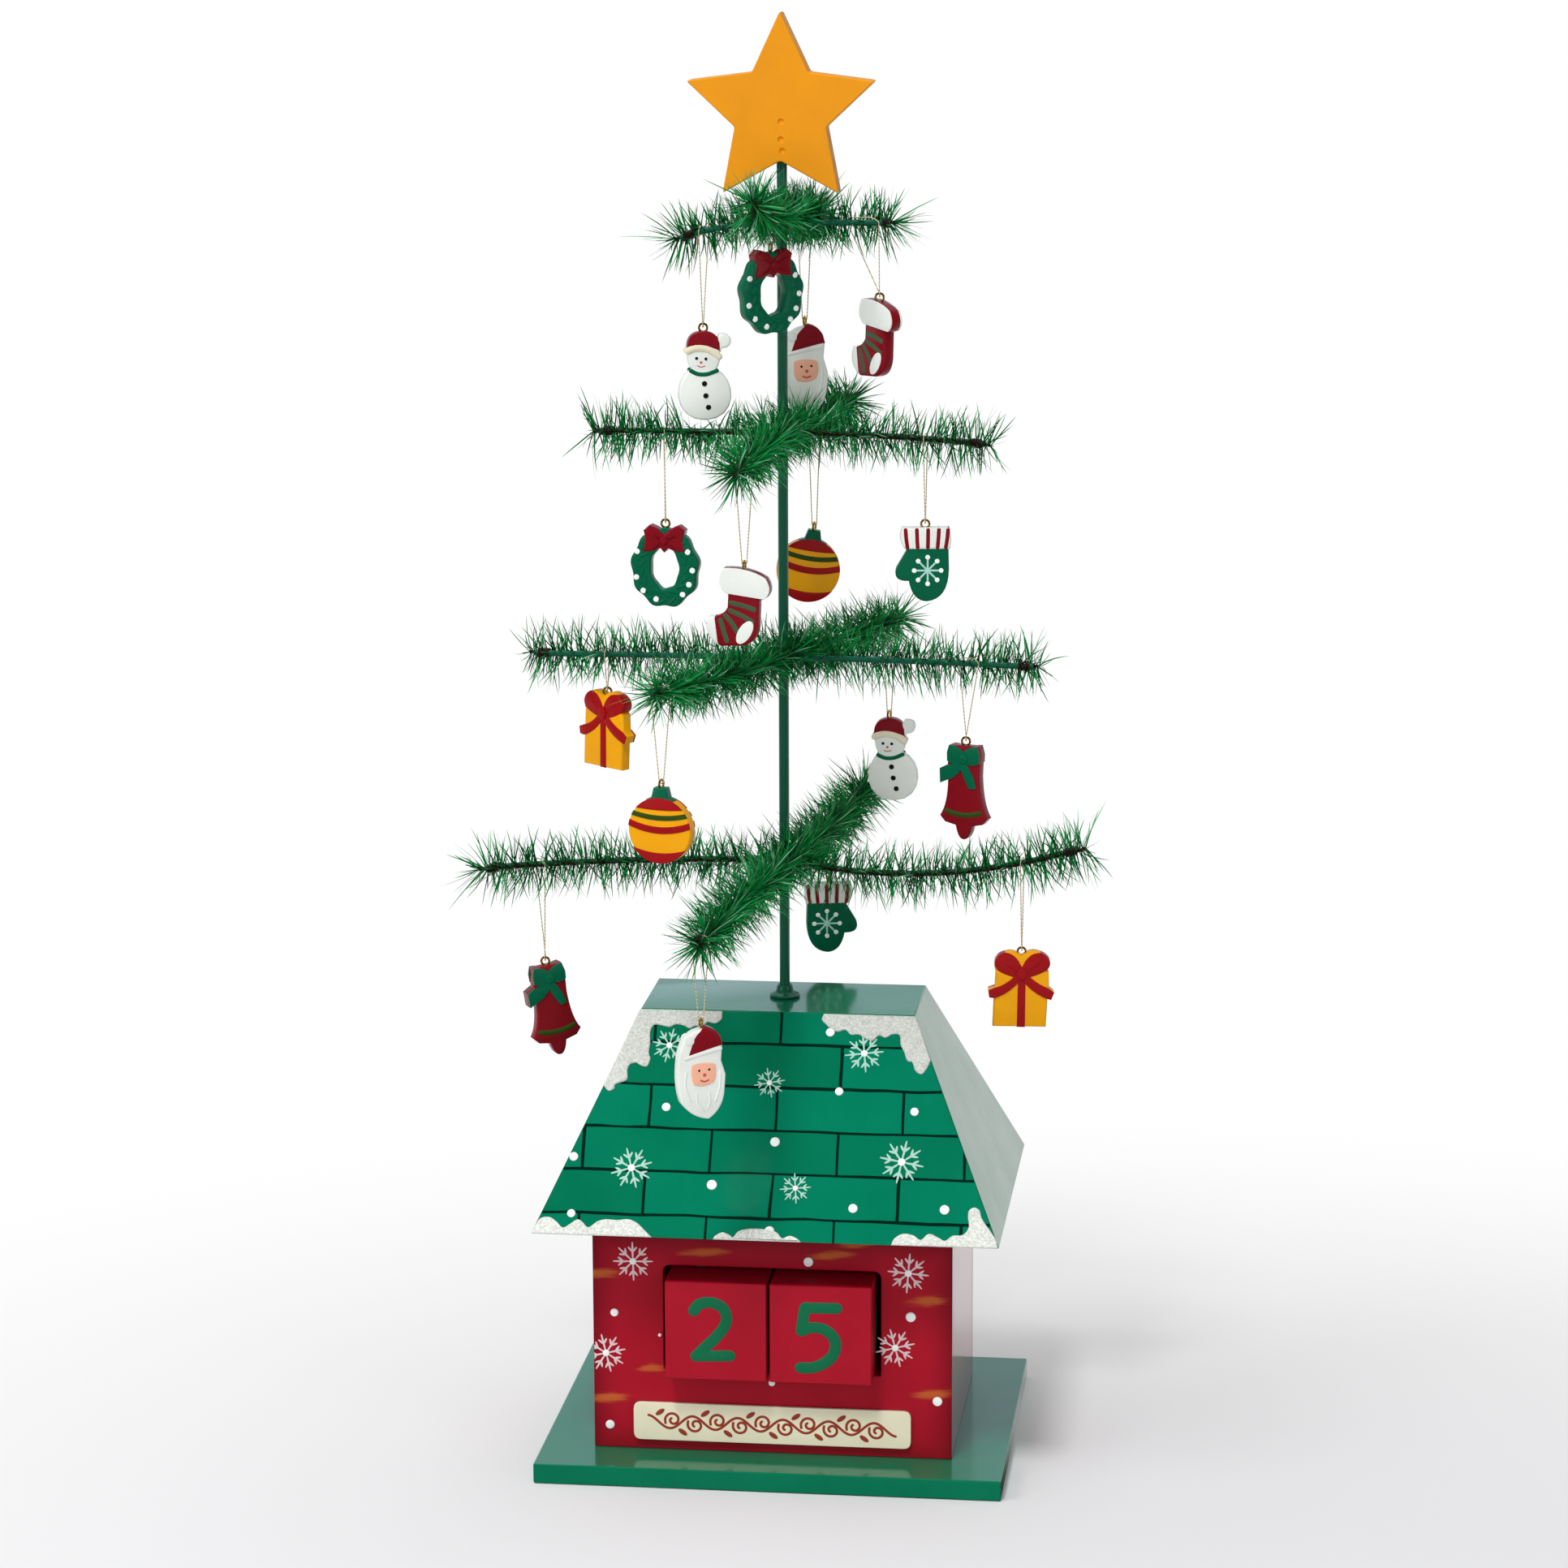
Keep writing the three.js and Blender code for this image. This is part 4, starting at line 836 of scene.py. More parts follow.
# %% Plaque and its painted scroll
sign = board("sign_plaque", cream_enamel, "plaque_paint", edge=0.35)
sign_low, sign_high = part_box("sign_plaque")
sign_middle = ((sign_low.x + sign_high.x) / 2, sign_low.y, (sign_low.z + sign_high.z) / 2)
vine_half, vine_wave, vine_rise, vine_steps = 49.0, 18.0, 2.6, 120
curl_reach, curl_steps = 3.3, 14
vine = []
for step in range(vine_steps + 1):
    x = -vine_half + 2 * vine_half * step / vine_steps
    vine.append((x, vine_rise * math.sin(math.tau * x / vine_wave)))
scroll_lines = [vine]
leaf_outlines = []
for bend in range(-5, 7):
    foot_x = (bend - 0.5) * vine_wave / 2
    if abs(foot_x) > vine_half - 4:
        continue
    up = -1 if bend % 2 else 1
    curl = []
    for step in range(curl_steps + 1):
        share = step / curl_steps
        reach = curl_reach * (1 - 0.74 * share)
        angle = math.radians(205 - 430 * share)
        curl.append((foot_x + 1.2 + reach * math.cos(angle), up * (0.9 + reach * math.sin(angle))))
    scroll_lines.append(curl)
    leaf_outlines.append(oval(foot_x - 3.9, up * 4.0, 2.1, 0.95, tilt=up * 35, count=14))
scroll = join("sign_scroll", [
    strokes("scroll_lines", [eased(line, 2) for line in scroll_lines], 1.05, 0.14, scroll_brown)] + [
    plate("leaf", [outline], 0.4, 0.15, scroll_brown) for outline in leaf_outlines])
stand(scroll, sign_middle, (1, 0, 0), (0, 0, 1))
finished(scroll, "house", "plaque_paint")
print("plaque", [round(s / MM, 1) for s in sign.dimensions])

# %% [markdown]
# ## Number blocks
# Two loose cubes with sanded edges. Their numbers are painted thickly with a round brush, so each is one
# or more strokes that stand a little proud. Every face carries a number, because the blocks are turned
# from day to day: 2 and 5 look forward here. The numbers on the tops and on the right faces sit a little
# further back, as they do when they are brushed by hand.

# %% Digits
digit_lines = {
    "0": [[(0, 13), (-6, 10), (-8, 0), (-6, -10), (0, -13), (6, -10), (8, 0), (6, 10), (0.5, 13)]],
    "1": [[(-5, 8), (0, 12.5), (0.3, 12.6), (0.4, 0), (0.2, -12.8)]],
    "2": [[(-8.5, 8.2), (-6.8, 10.6), (-3.7, 11.8), (-0.2, 11.5), (3, 9.7), (4.4, 6.3), (3.7, 2.6),
           (0.6, -1.8), (-3.5, -6), (-7.6, -10.2)], [(-7.8, -10.3), (-1.2, -10), (5.6, -9.7)]],
    "3": [[(-7, 11), (-1, 13.5), (5.5, 10), (4, 4), (-1.5, 1)], [(-1.5, 1), (5, -1), (7, -7), (2, -12.6),
          (-7, -11)]],
    "4": [[(2, 13), (-4, 4), (-8.5, -4.2)], [(-8.5, -4.2), (0, -4), (8.5, -3.8)], [(3.5, 5), (3.5, -4),
          (3.2, -13)]],
    "5": [[(6.4, 11.2), (-0.1, 11.1), (-6, 11)], [(-6, 11), (-6.7, 6.7), (-7.4, 1.6)],
          [(-7.4, 1.6), (-4, 2.9), (0.5, 2.8), (4.4, 0.3), (6, -3.5), (4.9, -8), (1.3, -11.4),
           (-3.2, -13.3), (-7.8, -13.5)]],
    "6": [[(5, 12.5), (-2, 9), (-6.8, 0), (-6, -9), (0, -12.8), (6.5, -9), (6.3, -3), (1, 0),
           (-5.5, -4)]],
    "7": [[(-7.5, 12.3), (0, 12.4), (7.5, 12.6)], [(7.5, 12.6), (2.5, 2), (-2.5, -12.8)]],
    "8": [[(0, 1), (-5.5, 5), (-4.5, 11), (0.5, 13), (5, 10.5), (5, 5), (0, 1), (-6.5, -4),
           (-5.5, -10.5), (0, -13), (6, -10.5), (6.3, -4.5), (0.6, 0.8)]],
}
block_faces = {
    "front": ((1, 0, 0), (0, 0, 1)), "right": ((0, 1, 0), (0, 0, 1)), "back": ((-1, 0, 0), (0, 0, 1)),
    "left": ((0, -1, 0), (0, 0, 1)), "top": ((0, 1, 0), (-1, 0, 0)), "bottom": ((0, 1, 0), (1, 0, 0))}
block_digits = {
    "left": {"front": "2", "right": "0", "back": "3", "left": "4", "top": "1", "bottom": "5"},
    "right": {"front": "5", "right": "6", "back": "7", "left": "8", "top": "1", "bottom": "0"}}
digit_width, digit_height = 4.5, 0.3
set_back = {"top": 6.5, "right": 4.0}
for side, digits in block_digits.items():
    node = "number_block_" + side
    board(node, block_enamel, "block_paint", body=node, edge=0.7)
    low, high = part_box(node)
    centre = (low + high) / 2
    half = (high.x - low.x) / 2
    for face, digit in digits.items():
        right, up = block_faces[face]
        lines = [eased(line, 4) for line in digit_lines[digit]]
        number = strokes(f"{node}_{face}_digit", lines, digit_width, digit_height, digit_enamel, 4)
        out = Vector(right).cross(Vector(up))
        nudge = Vector(right) * set_back.get(face, 0.0) * MM
        stand(number, centre + out * half + nudge, right, up)
        finished(number, node, "green_paint")
print("digits", sum(len(d) for d in block_digits.values()))

# %% [markdown]
# ## Trunk, foot and star
# The trunk is a thin steel rod in dark green gloss enamel; it stands in a small turned foot. Both are
# turned shapes: a profile spun about the trunk's axis. The star is sawn from 10 mm wood, its corners just
# eased, and brushed in warm yellow. Three little dents low on its face come from the pin that holds the
# rod, and are cut out of the mesh.

# %% Metals and star paint
def gloss_metal(name, code, roughness, metallic=0.0):
    """Drawn metal, bare or dipped in enamel: even gloss with a faint wave."""
    wave_size, wave_depth = 5, 0.02
    material, tree = new_material(name)
    place = add_node(tree, "TexCoord").outputs["Object"]
    wave = add_node(tree, "TexNoise", None, {
        "Vector": place, "Scale": 1 / (wave_size * MM), "Detail": 2.0})
    bump = add_node(tree, "Bump", None, {
        "Height": wave.outputs[0], "Distance": wave_depth * MM, "Strength": 1.0})
    shader = add_node(tree, "BsdfPrincipled", None, {
        "Base Color": linear(code), "Metallic": metallic, "Roughness": roughness,
        "Normal": bump.outputs[0]})
    add_node(tree, "OutputMaterial", None, {"Surface": shader.outputs[0]})
    return material


# Dipped enamel runs smooth, so the rods show one sharp line of light along them.
rod_enamel = gloss_metal("dark_green_enamelled_steel", "#08563E", 0.28)
# Brass plating on the screw eyes glints warmly.
brass = gloss_metal("brass_plated_wire", "#D9AE55", 0.3, metallic=1.0)
# Satin enamel brushed across the star in long strokes keeps broad, soft highlights.
star_enamel = enamel("yellow_satin_enamel", "#DE8F0C", 0.45, ridge_mm=0.8, ridge_run_mm=20.0)


def turned(name, profile, centre, material, sides=48):
    """Spins a profile of (radius, height) pairs about a vertical axis."""
    mesh = bpy.data.meshes.new(name)
    points = [(r * MM, 0, z * MM) for r, z in profile]
    mesh.from_pydata(points, [(i, i + 1) for i in range(len(points) - 1)], [])
    obj = placed(name, mesh)
    edit_all(obj)
    bpy.ops.mesh.spin(steps=sides, angle=math.tau, center=(0, 0, 0), axis=(0, 0, 1),
                      use_auto_merge=True)
    bpy.ops.object.mode_set(mode="OBJECT")
    close_mesh(obj)
    obj.matrix_world = Matrix.Translation(centre)
    paint_all(settle(obj), material)
    return smooth(obj, 40)


# %% Trunk and foot
trunk_low, trunk_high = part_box("trunk_rod")
axis = Vector(((trunk_low.x + trunk_high.x) / 2, (trunk_low.y + trunk_high.y) / 2, 0))
trunk_radius = (trunk_high.x - trunk_low.x) / 2 / MM
foot_z, tip_z = trunk_low.z / MM, trunk_high.z / MM
chamfer = 0.3
trunk = turned("trunk_rod_enamelled", [
    (0, foot_z), (trunk_radius - chamfer, foot_z), (trunk_radius, foot_z + chamfer),
    (trunk_radius, tip_z - chamfer), (trunk_radius - chamfer, tip_z), (0, tip_z)], axis, rod_enamel)
finished(trunk, "tree", "green_metal", "trunk_rod")

flange_low, flange_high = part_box("trunk_flange")
ground, top = flange_low.z / MM, flange_high.z / MM
rim = (flange_high.x - flange_low.x) / 2 / MM
bore = trunk_radius + 0.2
flange = turned("trunk_foot_enamelled", [
    (bore, ground), (rim - 0.25, ground), (rim, ground + 0.3), (rim, ground + 0.8),
    (rim - 0.5, ground + 1.3), (rim - 1.3, ground + 1.6), (4.1, ground + 1.9), (3.5, ground + 2.6),
    (3.2, top - 0.9), (2.95, top - 0.3), (2.6, top), (bore, top), (bore, ground)], axis, rod_enamel)
finished(flange, "house", "green_metal", "trunk_flange")
print("trunk", round(foot_z, 1), "to", round(tip_z, 1), "mm")

# %% Star
star_low, star_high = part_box("star")
star_thickness = (star_high.y - star_low.y) / MM
star_outer, star_inner, star_centre_z = 38.1, 18.5, 530.5
tip_blunt, notch_blunt, star_edge = 1.3, 0.8, 0.6
dent_radius, dent_height = 1.5, 0.7
dent_places = ((0.2, -3.6), (0.2, -10.4), (0.8, -14.7))
corners = []
for i in range(10):
    angle = math.radians(90 + 36 * i)
    radius = star_inner if i % 2 else star_outer
    corners.append(Vector((radius * math.cos(angle), radius * math.sin(angle))))
star_outline = []
for i, corner in enumerate(corners):
    blunt = notch_blunt if i % 2 else tip_blunt
    before = (corners[i - 1] - corner).normalized() * blunt
    after = (corners[(i + 1) % 10] - corner).normalized() * blunt
    star_outline += [corner + before, corner + (before + after) / 4, corner + after]
star = plate("star_painted", [star_outline], star_thickness, star_edge, star_enamel)
dents = []
for x, z in dent_places:
    bpy.ops.mesh.primitive_uv_sphere_add(
        segments=20, ring_count=12, radius=dent_radius * MM,
        location=(x * MM, z * MM, (star_thickness / 2 + dent_height) * MM))
    dents.append(bpy.context.active_object)
cutter = join("dents", dents)
modify(star, "dents", "BOOLEAN", object=cutter, operation="DIFFERENCE", solver="EXACT")
remove(cutter)
edit_all(star)
bpy.ops.mesh.dissolve_limited(angle_limit=math.radians(0.5))
bpy.ops.object.mode_set(mode="OBJECT")
stand(star, (axis.x, (star_low.y + star_high.y) / 2, star_centre_z * MM), (1, 0, 0), (0, 0, 1))
smooth(star, 40)
modify(star, "evened", "WEIGHTED_NORMAL", keep_sharp=True)
finished(star, "tree", "star_paint", "star")
print("star", [round(s / MM, 1) for s in star.dimensions])

# %% [markdown]
# ## Ornaments
# There are eight kinds of little wooden ornament, two of each. Each kind is sawn from 5 mm plywood, so it
# is one thick plate, and its second and third colours are thick coats that wrap over the whole edge: thin
# shells a fifth of a millimetre larger than the wood. Small marks are strokes on the front and on the
# back. A kind is drawn once, with its screw eye's seat at the origin, and copied to its two places.

# %% Ornament paints
# Dipped gloss enamel: rounded, wet-looking edges with small sharp highlights.
dipped = {"ridge_mm": 0.8, "ridge_run_mm": 2.5}
gloss_white = enamel("white_gloss_enamel", "#E4E8E2", 0.3, **dipped)
gloss_crimson = enamel("dark_crimson_gloss_enamel", "#7E0B19", 0.26, **dipped)
gloss_green = enamel("bottle_green_gloss_enamel", "#005E40", 0.26, **dipped)
gloss_yellow = enamel("yellow_gloss_enamel", "#E9A000", 0.3, **dipped)
bright_red = enamel("bright_red_gloss_enamel", "#990C12", 0.28, **dipped)
# Craft paint from a fine brush: duller stripes and small marks on the gloss.
olive_green = enamel("olive_green_paint", "#2E4A14", 0.4, ridge_mm=0.6, ridge_run_mm=2.5)
stocking_green = enamel("grey_green_paint", "#41573C", 0.4, ridge_mm=0.6, ridge_run_mm=2.5)
fine = {"ridge_mm": 0.5, "ridge_run_mm": 2.0}
skin_paint = enamel("peach_paint", "#F0B193", 0.45, **fine)
black_paint = enamel("black_gloss_enamel", "#151515", 0.25, **fine)
rose_paint = enamel("rose_paint", "#B85A50", 0.45, **fine)
frost_paint = enamel("frost_green_paint", "#A9D6CA", 0.45, **fine)
# Thick dabbed paint stands for fur: deep dimples that catch the light.
cream_fur = enamel("cream_thick_paint", "#E2DAC0", 0.5, depth_mm=0.05, **dabbed)
print("paints", len(bpy.data.materials))

# %% Wood, coats and marks
wood, wood_edge, coat = 5.0, 0.8, 0.2


def body_plate(outlines, material):
    """The sawn wood of an ornament."""
    return plate("wood", outlines, wood, wood_edge, material)


def wrap(outline, material, rise=coat):
    """A coat of paint that wraps over the wood's edge."""
    return plate("wrap", [outline], wood + 2 * rise, wood_edge, material, grow=rise)


def on_both_faces(name, rise, draw):
    """Draws shapes twice, for the front of the wood and for its back, and joins them."""
    drawn = []
    for out in (1, -1):
        for shape in draw():
            shape.location.z = out * (wood / 2 + rise) * MM
            drawn.append(settle(shape))
    return join(name, drawn)


def marks(lines, width, material, height, rise=0.0):
    """Brush strokes."""
    lines = [eased(line, 3) for line in lines]
    return on_both_faces("marks", rise, lambda: [strokes("marks", lines, width, height, material)])


def spots(places, radius, material, rise=0.0):
    """Round drops of paint."""
    return on_both_faces("spots", rise, lambda: [
        plate("spot", [oval(x, y, radius, radius, count=16)], 0.6, 0.27, material) for x, y in places])


def patch(outline, material, rise=0.0, thickness=0.6):
    """A flat patch of paint."""
    return on_both_faces("patch", rise, lambda: [plate("patch", [outline], thickness, 0.2, material)])


print("wood", wood, "mm thick, coats", coat, "mm")

# %% Snowman and Father Christmas
def make_snowman():
    """A snowman with a crimson cap, a green scarf and three buttons."""
    outline = trace("M -6.3 -7 Q -6.3 0 0 0 Q 3.5 0 5.4 -2.4 L 6.4 -0.9 Q 10.8 -0.6 10.6 -3.9 "
                    "Q 10.2 -6.6 7.2 -6.4 L 6.3 -8 Q 6.6 -12.5 4.8 -14.5 C 13 -18 13.5 -34.3 0.5 -34.3 "
                    "C -12.5 -34.3 -12 -18 -4.8 -14.5 Q -6.6 -12 -6.3 -7")[:-1]
    cap = trace("M -6.3 -5.6 Q -6 0 0 0 Q 3.5 0 5.4 -2.4 L 6.2 -4.4 L 6.3 -7.6 Q 0 -4.2 -6.3 -5.6")[:-1]
    return [
        body_plate([outline], gloss_white),
        wrap(cap, gloss_crimson),
        marks([[(-6.2, -7.2), (-3.2, -6.2), (0.6, -6.5), (3.6, -7.8), (5.8, -9.6)]], 2.7, cream_fur, 0.6),
        spots([(-2.9, -10.1), (0.7, -10.4)], 0.6, black_paint),
        spots([(-1.2, -11.7)], 0.5, rose_paint),
        marks([[(-2.6, -13), (-1.2, -13.5), (0.3, -13.1)]], 0.4, rose_paint, 0.12),
        marks([[(-5.2, -14.9), (-2.4, -16.2), (1.2, -16.3), (5, -15)]], 1.6, gloss_green, 0.4),
        spots([(0.1, -20), (0.6, -24.7), (1.6, -29.2)], 1.05, black_paint),
    ]


def make_santa():
    """A generic Father Christmas: a hat, a face and strands of beard."""
    outline = trace("M 1 0 L -3.1 -1.2 Q -8.6 -3.6 -9.5 -12 Q -10.6 -22 -8.4 -28.5 "
                    "Q -4.5 -34.4 2.2 -35.3 Q 7.6 -32 8.4 -25.4 L 8.9 -18.5 L 7.2 -13 L 7.6 -7.4 "
                    "Q 5.6 -1 1 0")[:-1]
    hat = trace("M 1.2 0.1 Q -2.4 -1.4 -3.8 -5 L -5.6 -10.4 Q 1 -8.6 7.6 -7 L 6.8 -4 "
                "Q 5 -0.6 1.2 0.1")[:-1]
    face = trace("M -4.4 -14.6 Q -4.2 -13.4 0 -13.4 Q 4.6 -13.4 4.9 -14.8 Q 5.4 -19 4 -21 "
                 "Q 0.6 -23 -3.2 -21.8 Q -5 -20 -4.4 -14.6")[:-1]
    return [
        body_plate([outline], gloss_white),
        wrap(hat, gloss_crimson),
        marks([[(-6.6, -11.4), (-1, -10), (3.4, -9), (6.8, -8.3)]], 1.5, gloss_white, 0.3),
        spots([(-5.2, -4.6)], 1.9, gloss_white),
        patch(face, skin_paint),
        spots([(-1.6, -16.2), (2.3, -16)], 0.5, black_paint, rise=0.15),
        spots([(0.5, -18)], 0.75, rose_paint, rise=0.1),
        marks([[(-1, -20), (0.5, -20.5), (2, -20)]], 0.6, rose_paint, 0.15, rise=0.3),
        marks([[(-6.6, -17), (-6.9, -22), (-5, -28)], [(6.6, -17), (6.4, -23), (4.6, -28.5)],
               [(-2.6, -25), (-2.2, -29), (0.2, -32)], [(2.2, -24.6), (2.6, -28), (1.8, -31)]],
              0.8, gloss_white, 0.3),
    ]


# %% Stocking and mitten
def make_stocking():
    """A striped stocking with a white cuff and toe."""
    outline = trace("M -7.5 0.6 Q 2 1.2 8.7 -2.9 Q 12 -8 8.1 -11 L 6.2 -11.5 L 5.9 -19.3 Q 6 -27.6 0 -29 "
                    "L -9 -29.3 Q -16.4 -25 -13.1 -18.4 Q -8 -18 -6.2 -14.5 L -5.9 -9.6 "
                    "Q -11.4 -6 -7.5 0.6")[:-1]
    cuff = keep_left(outline, (-10, -8.6), (10, -11.2))
    toe = keep_left(outline, (-9.6, -30), (-11.6, -14))
    stripes = [[(-4.6, -12.6), (0, -13.6), (4.2, -14.9)], [(-4.9, -15.6), (-0.6, -17.4), (3.4, -19.6)],
               [(-6.8, -17.6), (-4.2, -20.6), (-2.4, -23.6)],
               [(-8.8, -19.4), (-7.6, -23.4), (-6.4, -27.2)]]
    return [
        body_plate([outline], gloss_crimson),
        patch(cuff, gloss_white, thickness=0.9),
        wrap(toe, gloss_white),
        marks(stripes, 1.9, stocking_green, 0.15),
        patch(oval(0.6, -23.8, 2.5, 5.0, tilt=-32), gloss_white),
    ]


def make_mitten():
    """A green mitten with a striped cuff and a frost star."""
    outline = trace("M -8.8 0 L 8.6 0 Q 10.6 -4 9 -8.6 L 9.2 -16 Q 9 -27.8 0.6 -28.6 "
                    "Q -5 -28.4 -6.4 -20.6 Q -13 -20.8 -11.2 -15.4 L -7.2 -8.6 Q -10.8 -4 -8.8 0")[:-1]
    cuff = keep_left(outline, (-20, -7.8), (20, -7.8))
    lines = [[(x * 1.04, -0.5), (x, -4), (x * 0.94, -7.3)] for x in (-7.4, -3.2, 1, 5, 8.4)]
    centre, reach = Vector((0.9, -16.4)), 5.2
    turns = [math.tau * i / 8 for i in range(8)]
    tips = [centre + Vector((math.cos(a), math.sin(a))) * reach for a in turns]
    return [
        body_plate([outline], gloss_green),
        wrap(cuff, gloss_white, 0.3),
        marks(lines, 1.5, gloss_crimson, 0.12, rise=0.3),
        marks([[centre, tip] for tip in tips], 0.75, frost_paint, 0.18),
        spots([tuple(tip) for tip in tips], 0.95, white_dabs),
    ]


# %% Wreath
def make_wreath():
    """A wreath of brushed leaves with white berries and a crimson bow."""
    half_x, half_y, lobes, inner_lobes = 14.0, 15.9, 9, 7
    rim, hole = [], []
    for i in range(108):
        angle = math.tau * i / 108 + math.pi / 2
        reach = 1 - 0.035 * (1 - math.cos(lobes * (angle - math.pi / 2)))
        rim.append(Vector((half_x * reach * math.cos(angle), half_y * reach * math.sin(angle) - half_y)))
        inner = 1 + 0.03 * math.cos(inner_lobes * angle)
        hole.append(Vector((0.41 * half_x * inner * math.cos(angle),
                            0.52 * half_y * inner * math.sin(angle) - half_y)))
    bow = trace("M 0 -3.2 Q -2.6 -0.4 -5.8 0.4 L -7.8 -1.4 Q -6.6 -4.6 -8 -9.2 Q -4.6 -9 -1.4 -7.4 "
                "L 0 -9 L 1.4 -7.4 Q 4.6 -9 7.8 -8.9 Q 6.6 -4.6 7.8 -1 L 5.8 0.5 Q 2.6 -0.4 0 -3.2")[:-1]
    leaves = []
    for i in range(30):
        angle = math.radians(118 + 304 * i / 29)
        share = 0.74 + 0.09 * (-1) ** i
        foot = Vector((half_x * share * math.cos(angle), half_y * share * math.sin(angle) - half_y))
        lean = angle + math.pi / 2 + 0.55 * (-1) ** i
        leaf = Vector((math.cos(lean), math.sin(lean)))
        leaves.append([foot - leaf * 1.4, foot + leaf * 0.1, foot + leaf * 1.4])
    return [
        body_plate([rim, hole], gloss_green),
        marks(leaves, 1.1, gloss_green, 0.28),
        wrap(bow, gloss_crimson, 0.5),
        spots([(0, -5)], 1.6, gloss_crimson, rise=0.7),
        marks([[(-2, -4), (-4.6, -2.8)], [(2, -4), (4.6, -2.8)], [(-2, -6.4), (-4.4, -8)],
               [(2, -6.4), (4.4, -8)]], 0.5, gloss_crimson, 0.3, rise=0.75),
        spots([(-10.9, -9.6), (9.6, -9.2), (11.4, -16.4), (-11.3, -19.8), (7.4, -26), (-3.4, -28.2),
               (-8.6, -25), (10, -22)], 1.15, white_dabs),
    ]


# %% Ball
def arch(height, bend, half=14, steps=20):
    """A shallow curve that hangs down in the middle."""
    across = [half * (2 * i / steps - 1) for i in range(steps + 1)]
    return [Vector((x, height + bend * (x / half) ** 2)) for x in across]


def make_ball():
    """A yellow ball with a green cap and painted bands."""
    radius, centre_y, cap_half, steps = 12.6, -16.0, 3.2, 60
    start = math.acos(cap_half / radius)
    rim = [Vector((-cap_half, centre_y + radius * math.sin(start))), Vector((-cap_half * 0.7, 0)),
           Vector((cap_half * 0.7, 0))]
    span = math.tau - (math.pi - 2 * start)
    for i in range(steps):
        angle = start - span * i / steps
        rim.append(Vector((radius * math.cos(angle), centre_y + radius * math.sin(angle))))
    disc = oval(0, centre_y, radius, radius, count=64)

    def band(top, bottom, bend):
        """A painted band, cut off at the ball's rim."""
        shape = arch(top, bend) + arch(bottom, bend)[::-1]
        for a, b in zip(disc, disc[1:] + disc[:1]):
            shape = keep_left(shape, a, b)
        return shape

    cap = keep_left(rim, (-20, -4.3), (20, -4.3))
    return [
        body_plate([rim], gloss_yellow),
        wrap(cap, gloss_green),
        patch(band(-3.4, -8.2, 1.2), bright_red),
        patch(band(-10.2, -12.1, 2.4), olive_green),
        patch(band(-14.6, -17.2, 3.2), bright_red),
        patch(band(-24.6, -29.5, 3.0), bright_red),
    ]


# %% Gift and bell
def make_gift():
    """A yellow parcel with a red ribbon and bow."""
    outline = trace("M 0 0 Q 6 5 10.8 -2.3 L 9.8 -6 L 10.6 -6.4 L 10.8 -13 L 12.8 -14.8 L 11.6 -17.8 "
                    "L 10.2 -17.3 L 9.6 -28.8 L -11.4 -28.4 L -10.9 -17 L -12.8 -16.6 L -13.2 -13.6 "
                    "L -10.6 -12.8 L -10.2 -6.2 Q -12 -2.8 -8 0.6 Q -4.4 3.4 0 0")[:-1]
    bow = trace("M 0 -9 L -2 -8.6 Q -6.6 -7.6 -9.4 -5.6 Q -11.8 -2.6 -8.6 0.3 Q -4.6 2.9 -1.3 -2 "
                "L 0 -4.6 L 1.4 -1.9 Q 5.6 3.7 10.3 -1 Q 12 -4.2 8.8 -6.2 Q 5.4 -8 2 -8.6 L 0 -9")[:-1]
    ribbon = trace("M -1.5 -7.6 L 1.5 -7.6 L 1.3 -28.7 L -1.9 -28.6")
    left_tail = trace("M -1.2 -6 Q -5.5 -11.6 -10.8 -12.7 L -13.2 -13.6 L -12.8 -16.6 L -10.6 -16.9 "
                      "Q -4 -14.6 0.6 -8.2")
    right_tail = trace("M 1.2 -6 Q 5 -11 10.6 -13 L 12.8 -14.8 L 11.6 -17.8 L 9.8 -17.2 "
                       "Q 3 -14.4 -0.6 -8.2")
    return [
        body_plate([outline], gloss_yellow),
        wrap(bow, bright_red, 0.3),
        patch(ribbon, bright_red),
        patch(left_tail, bright_red, rise=0.1),
        patch(right_tail, bright_red, rise=0.1),
        patch(oval(0, -6.9, 1.9, 2.4), bright_red, rise=0.5, thickness=1.0),
        marks([[(-2.6, -5.6), (-6.4, -3)], [(2.6, -5.6), (6.6, -3)]], 0.5, bright_red, 0.25, rise=0.3),
    ]


def make_bell():
    """A crimson bell with a green bow."""
    outline = trace("M -6 0 L 6 0 L 7 -3.5 L 6.6 -12 Q 7 -24 10.2 -28.5 L 8 -31 L 3.4 -32 "
                    "Q 2.4 -37.5 0 -37.5 Q -2.4 -37.5 -3.4 -32 L -8 -31 L -10.2 -28.5 "
                    "Q -7 -24 -6.8 -14 L -9.8 -15.4 L -10 -9.6 L -7 -8")
    bow = trace("M 0 -2.4 Q 2.4 0.1 5.9 0 L 6.9 -3.5 L 6.8 -6.6 Q 4 -8.2 1.6 -7 L 4.6 -12.6 L 5.6 -16.6 "
                "L 2.9 -17 Q 0.6 -13.6 -0.8 -9.6 Q -3.4 -13 -6.7 -14 L -9.8 -15.4 L -10 -9.6 L -7 -8 "
                "L -4.4 -7.6 L -6.8 -6.4 L -6.9 -3 L -6 0 Q -2.6 0.2 0 -2.4")[:-1]
    return [
        body_plate([outline], gloss_crimson),
        patch(bow, gloss_green, rise=0.05, thickness=1.0),
        patch(oval(0, -5.2, 2.1, 1.9), gloss_green, rise=0.5, thickness=0.8),
        marks([[(-7.1, -26.4), (-3.6, -27.3), (0, -27.6), (3.6, -27.3), (7.1, -26.4)]],
              2.0, olive_green, 0.25),
    ]


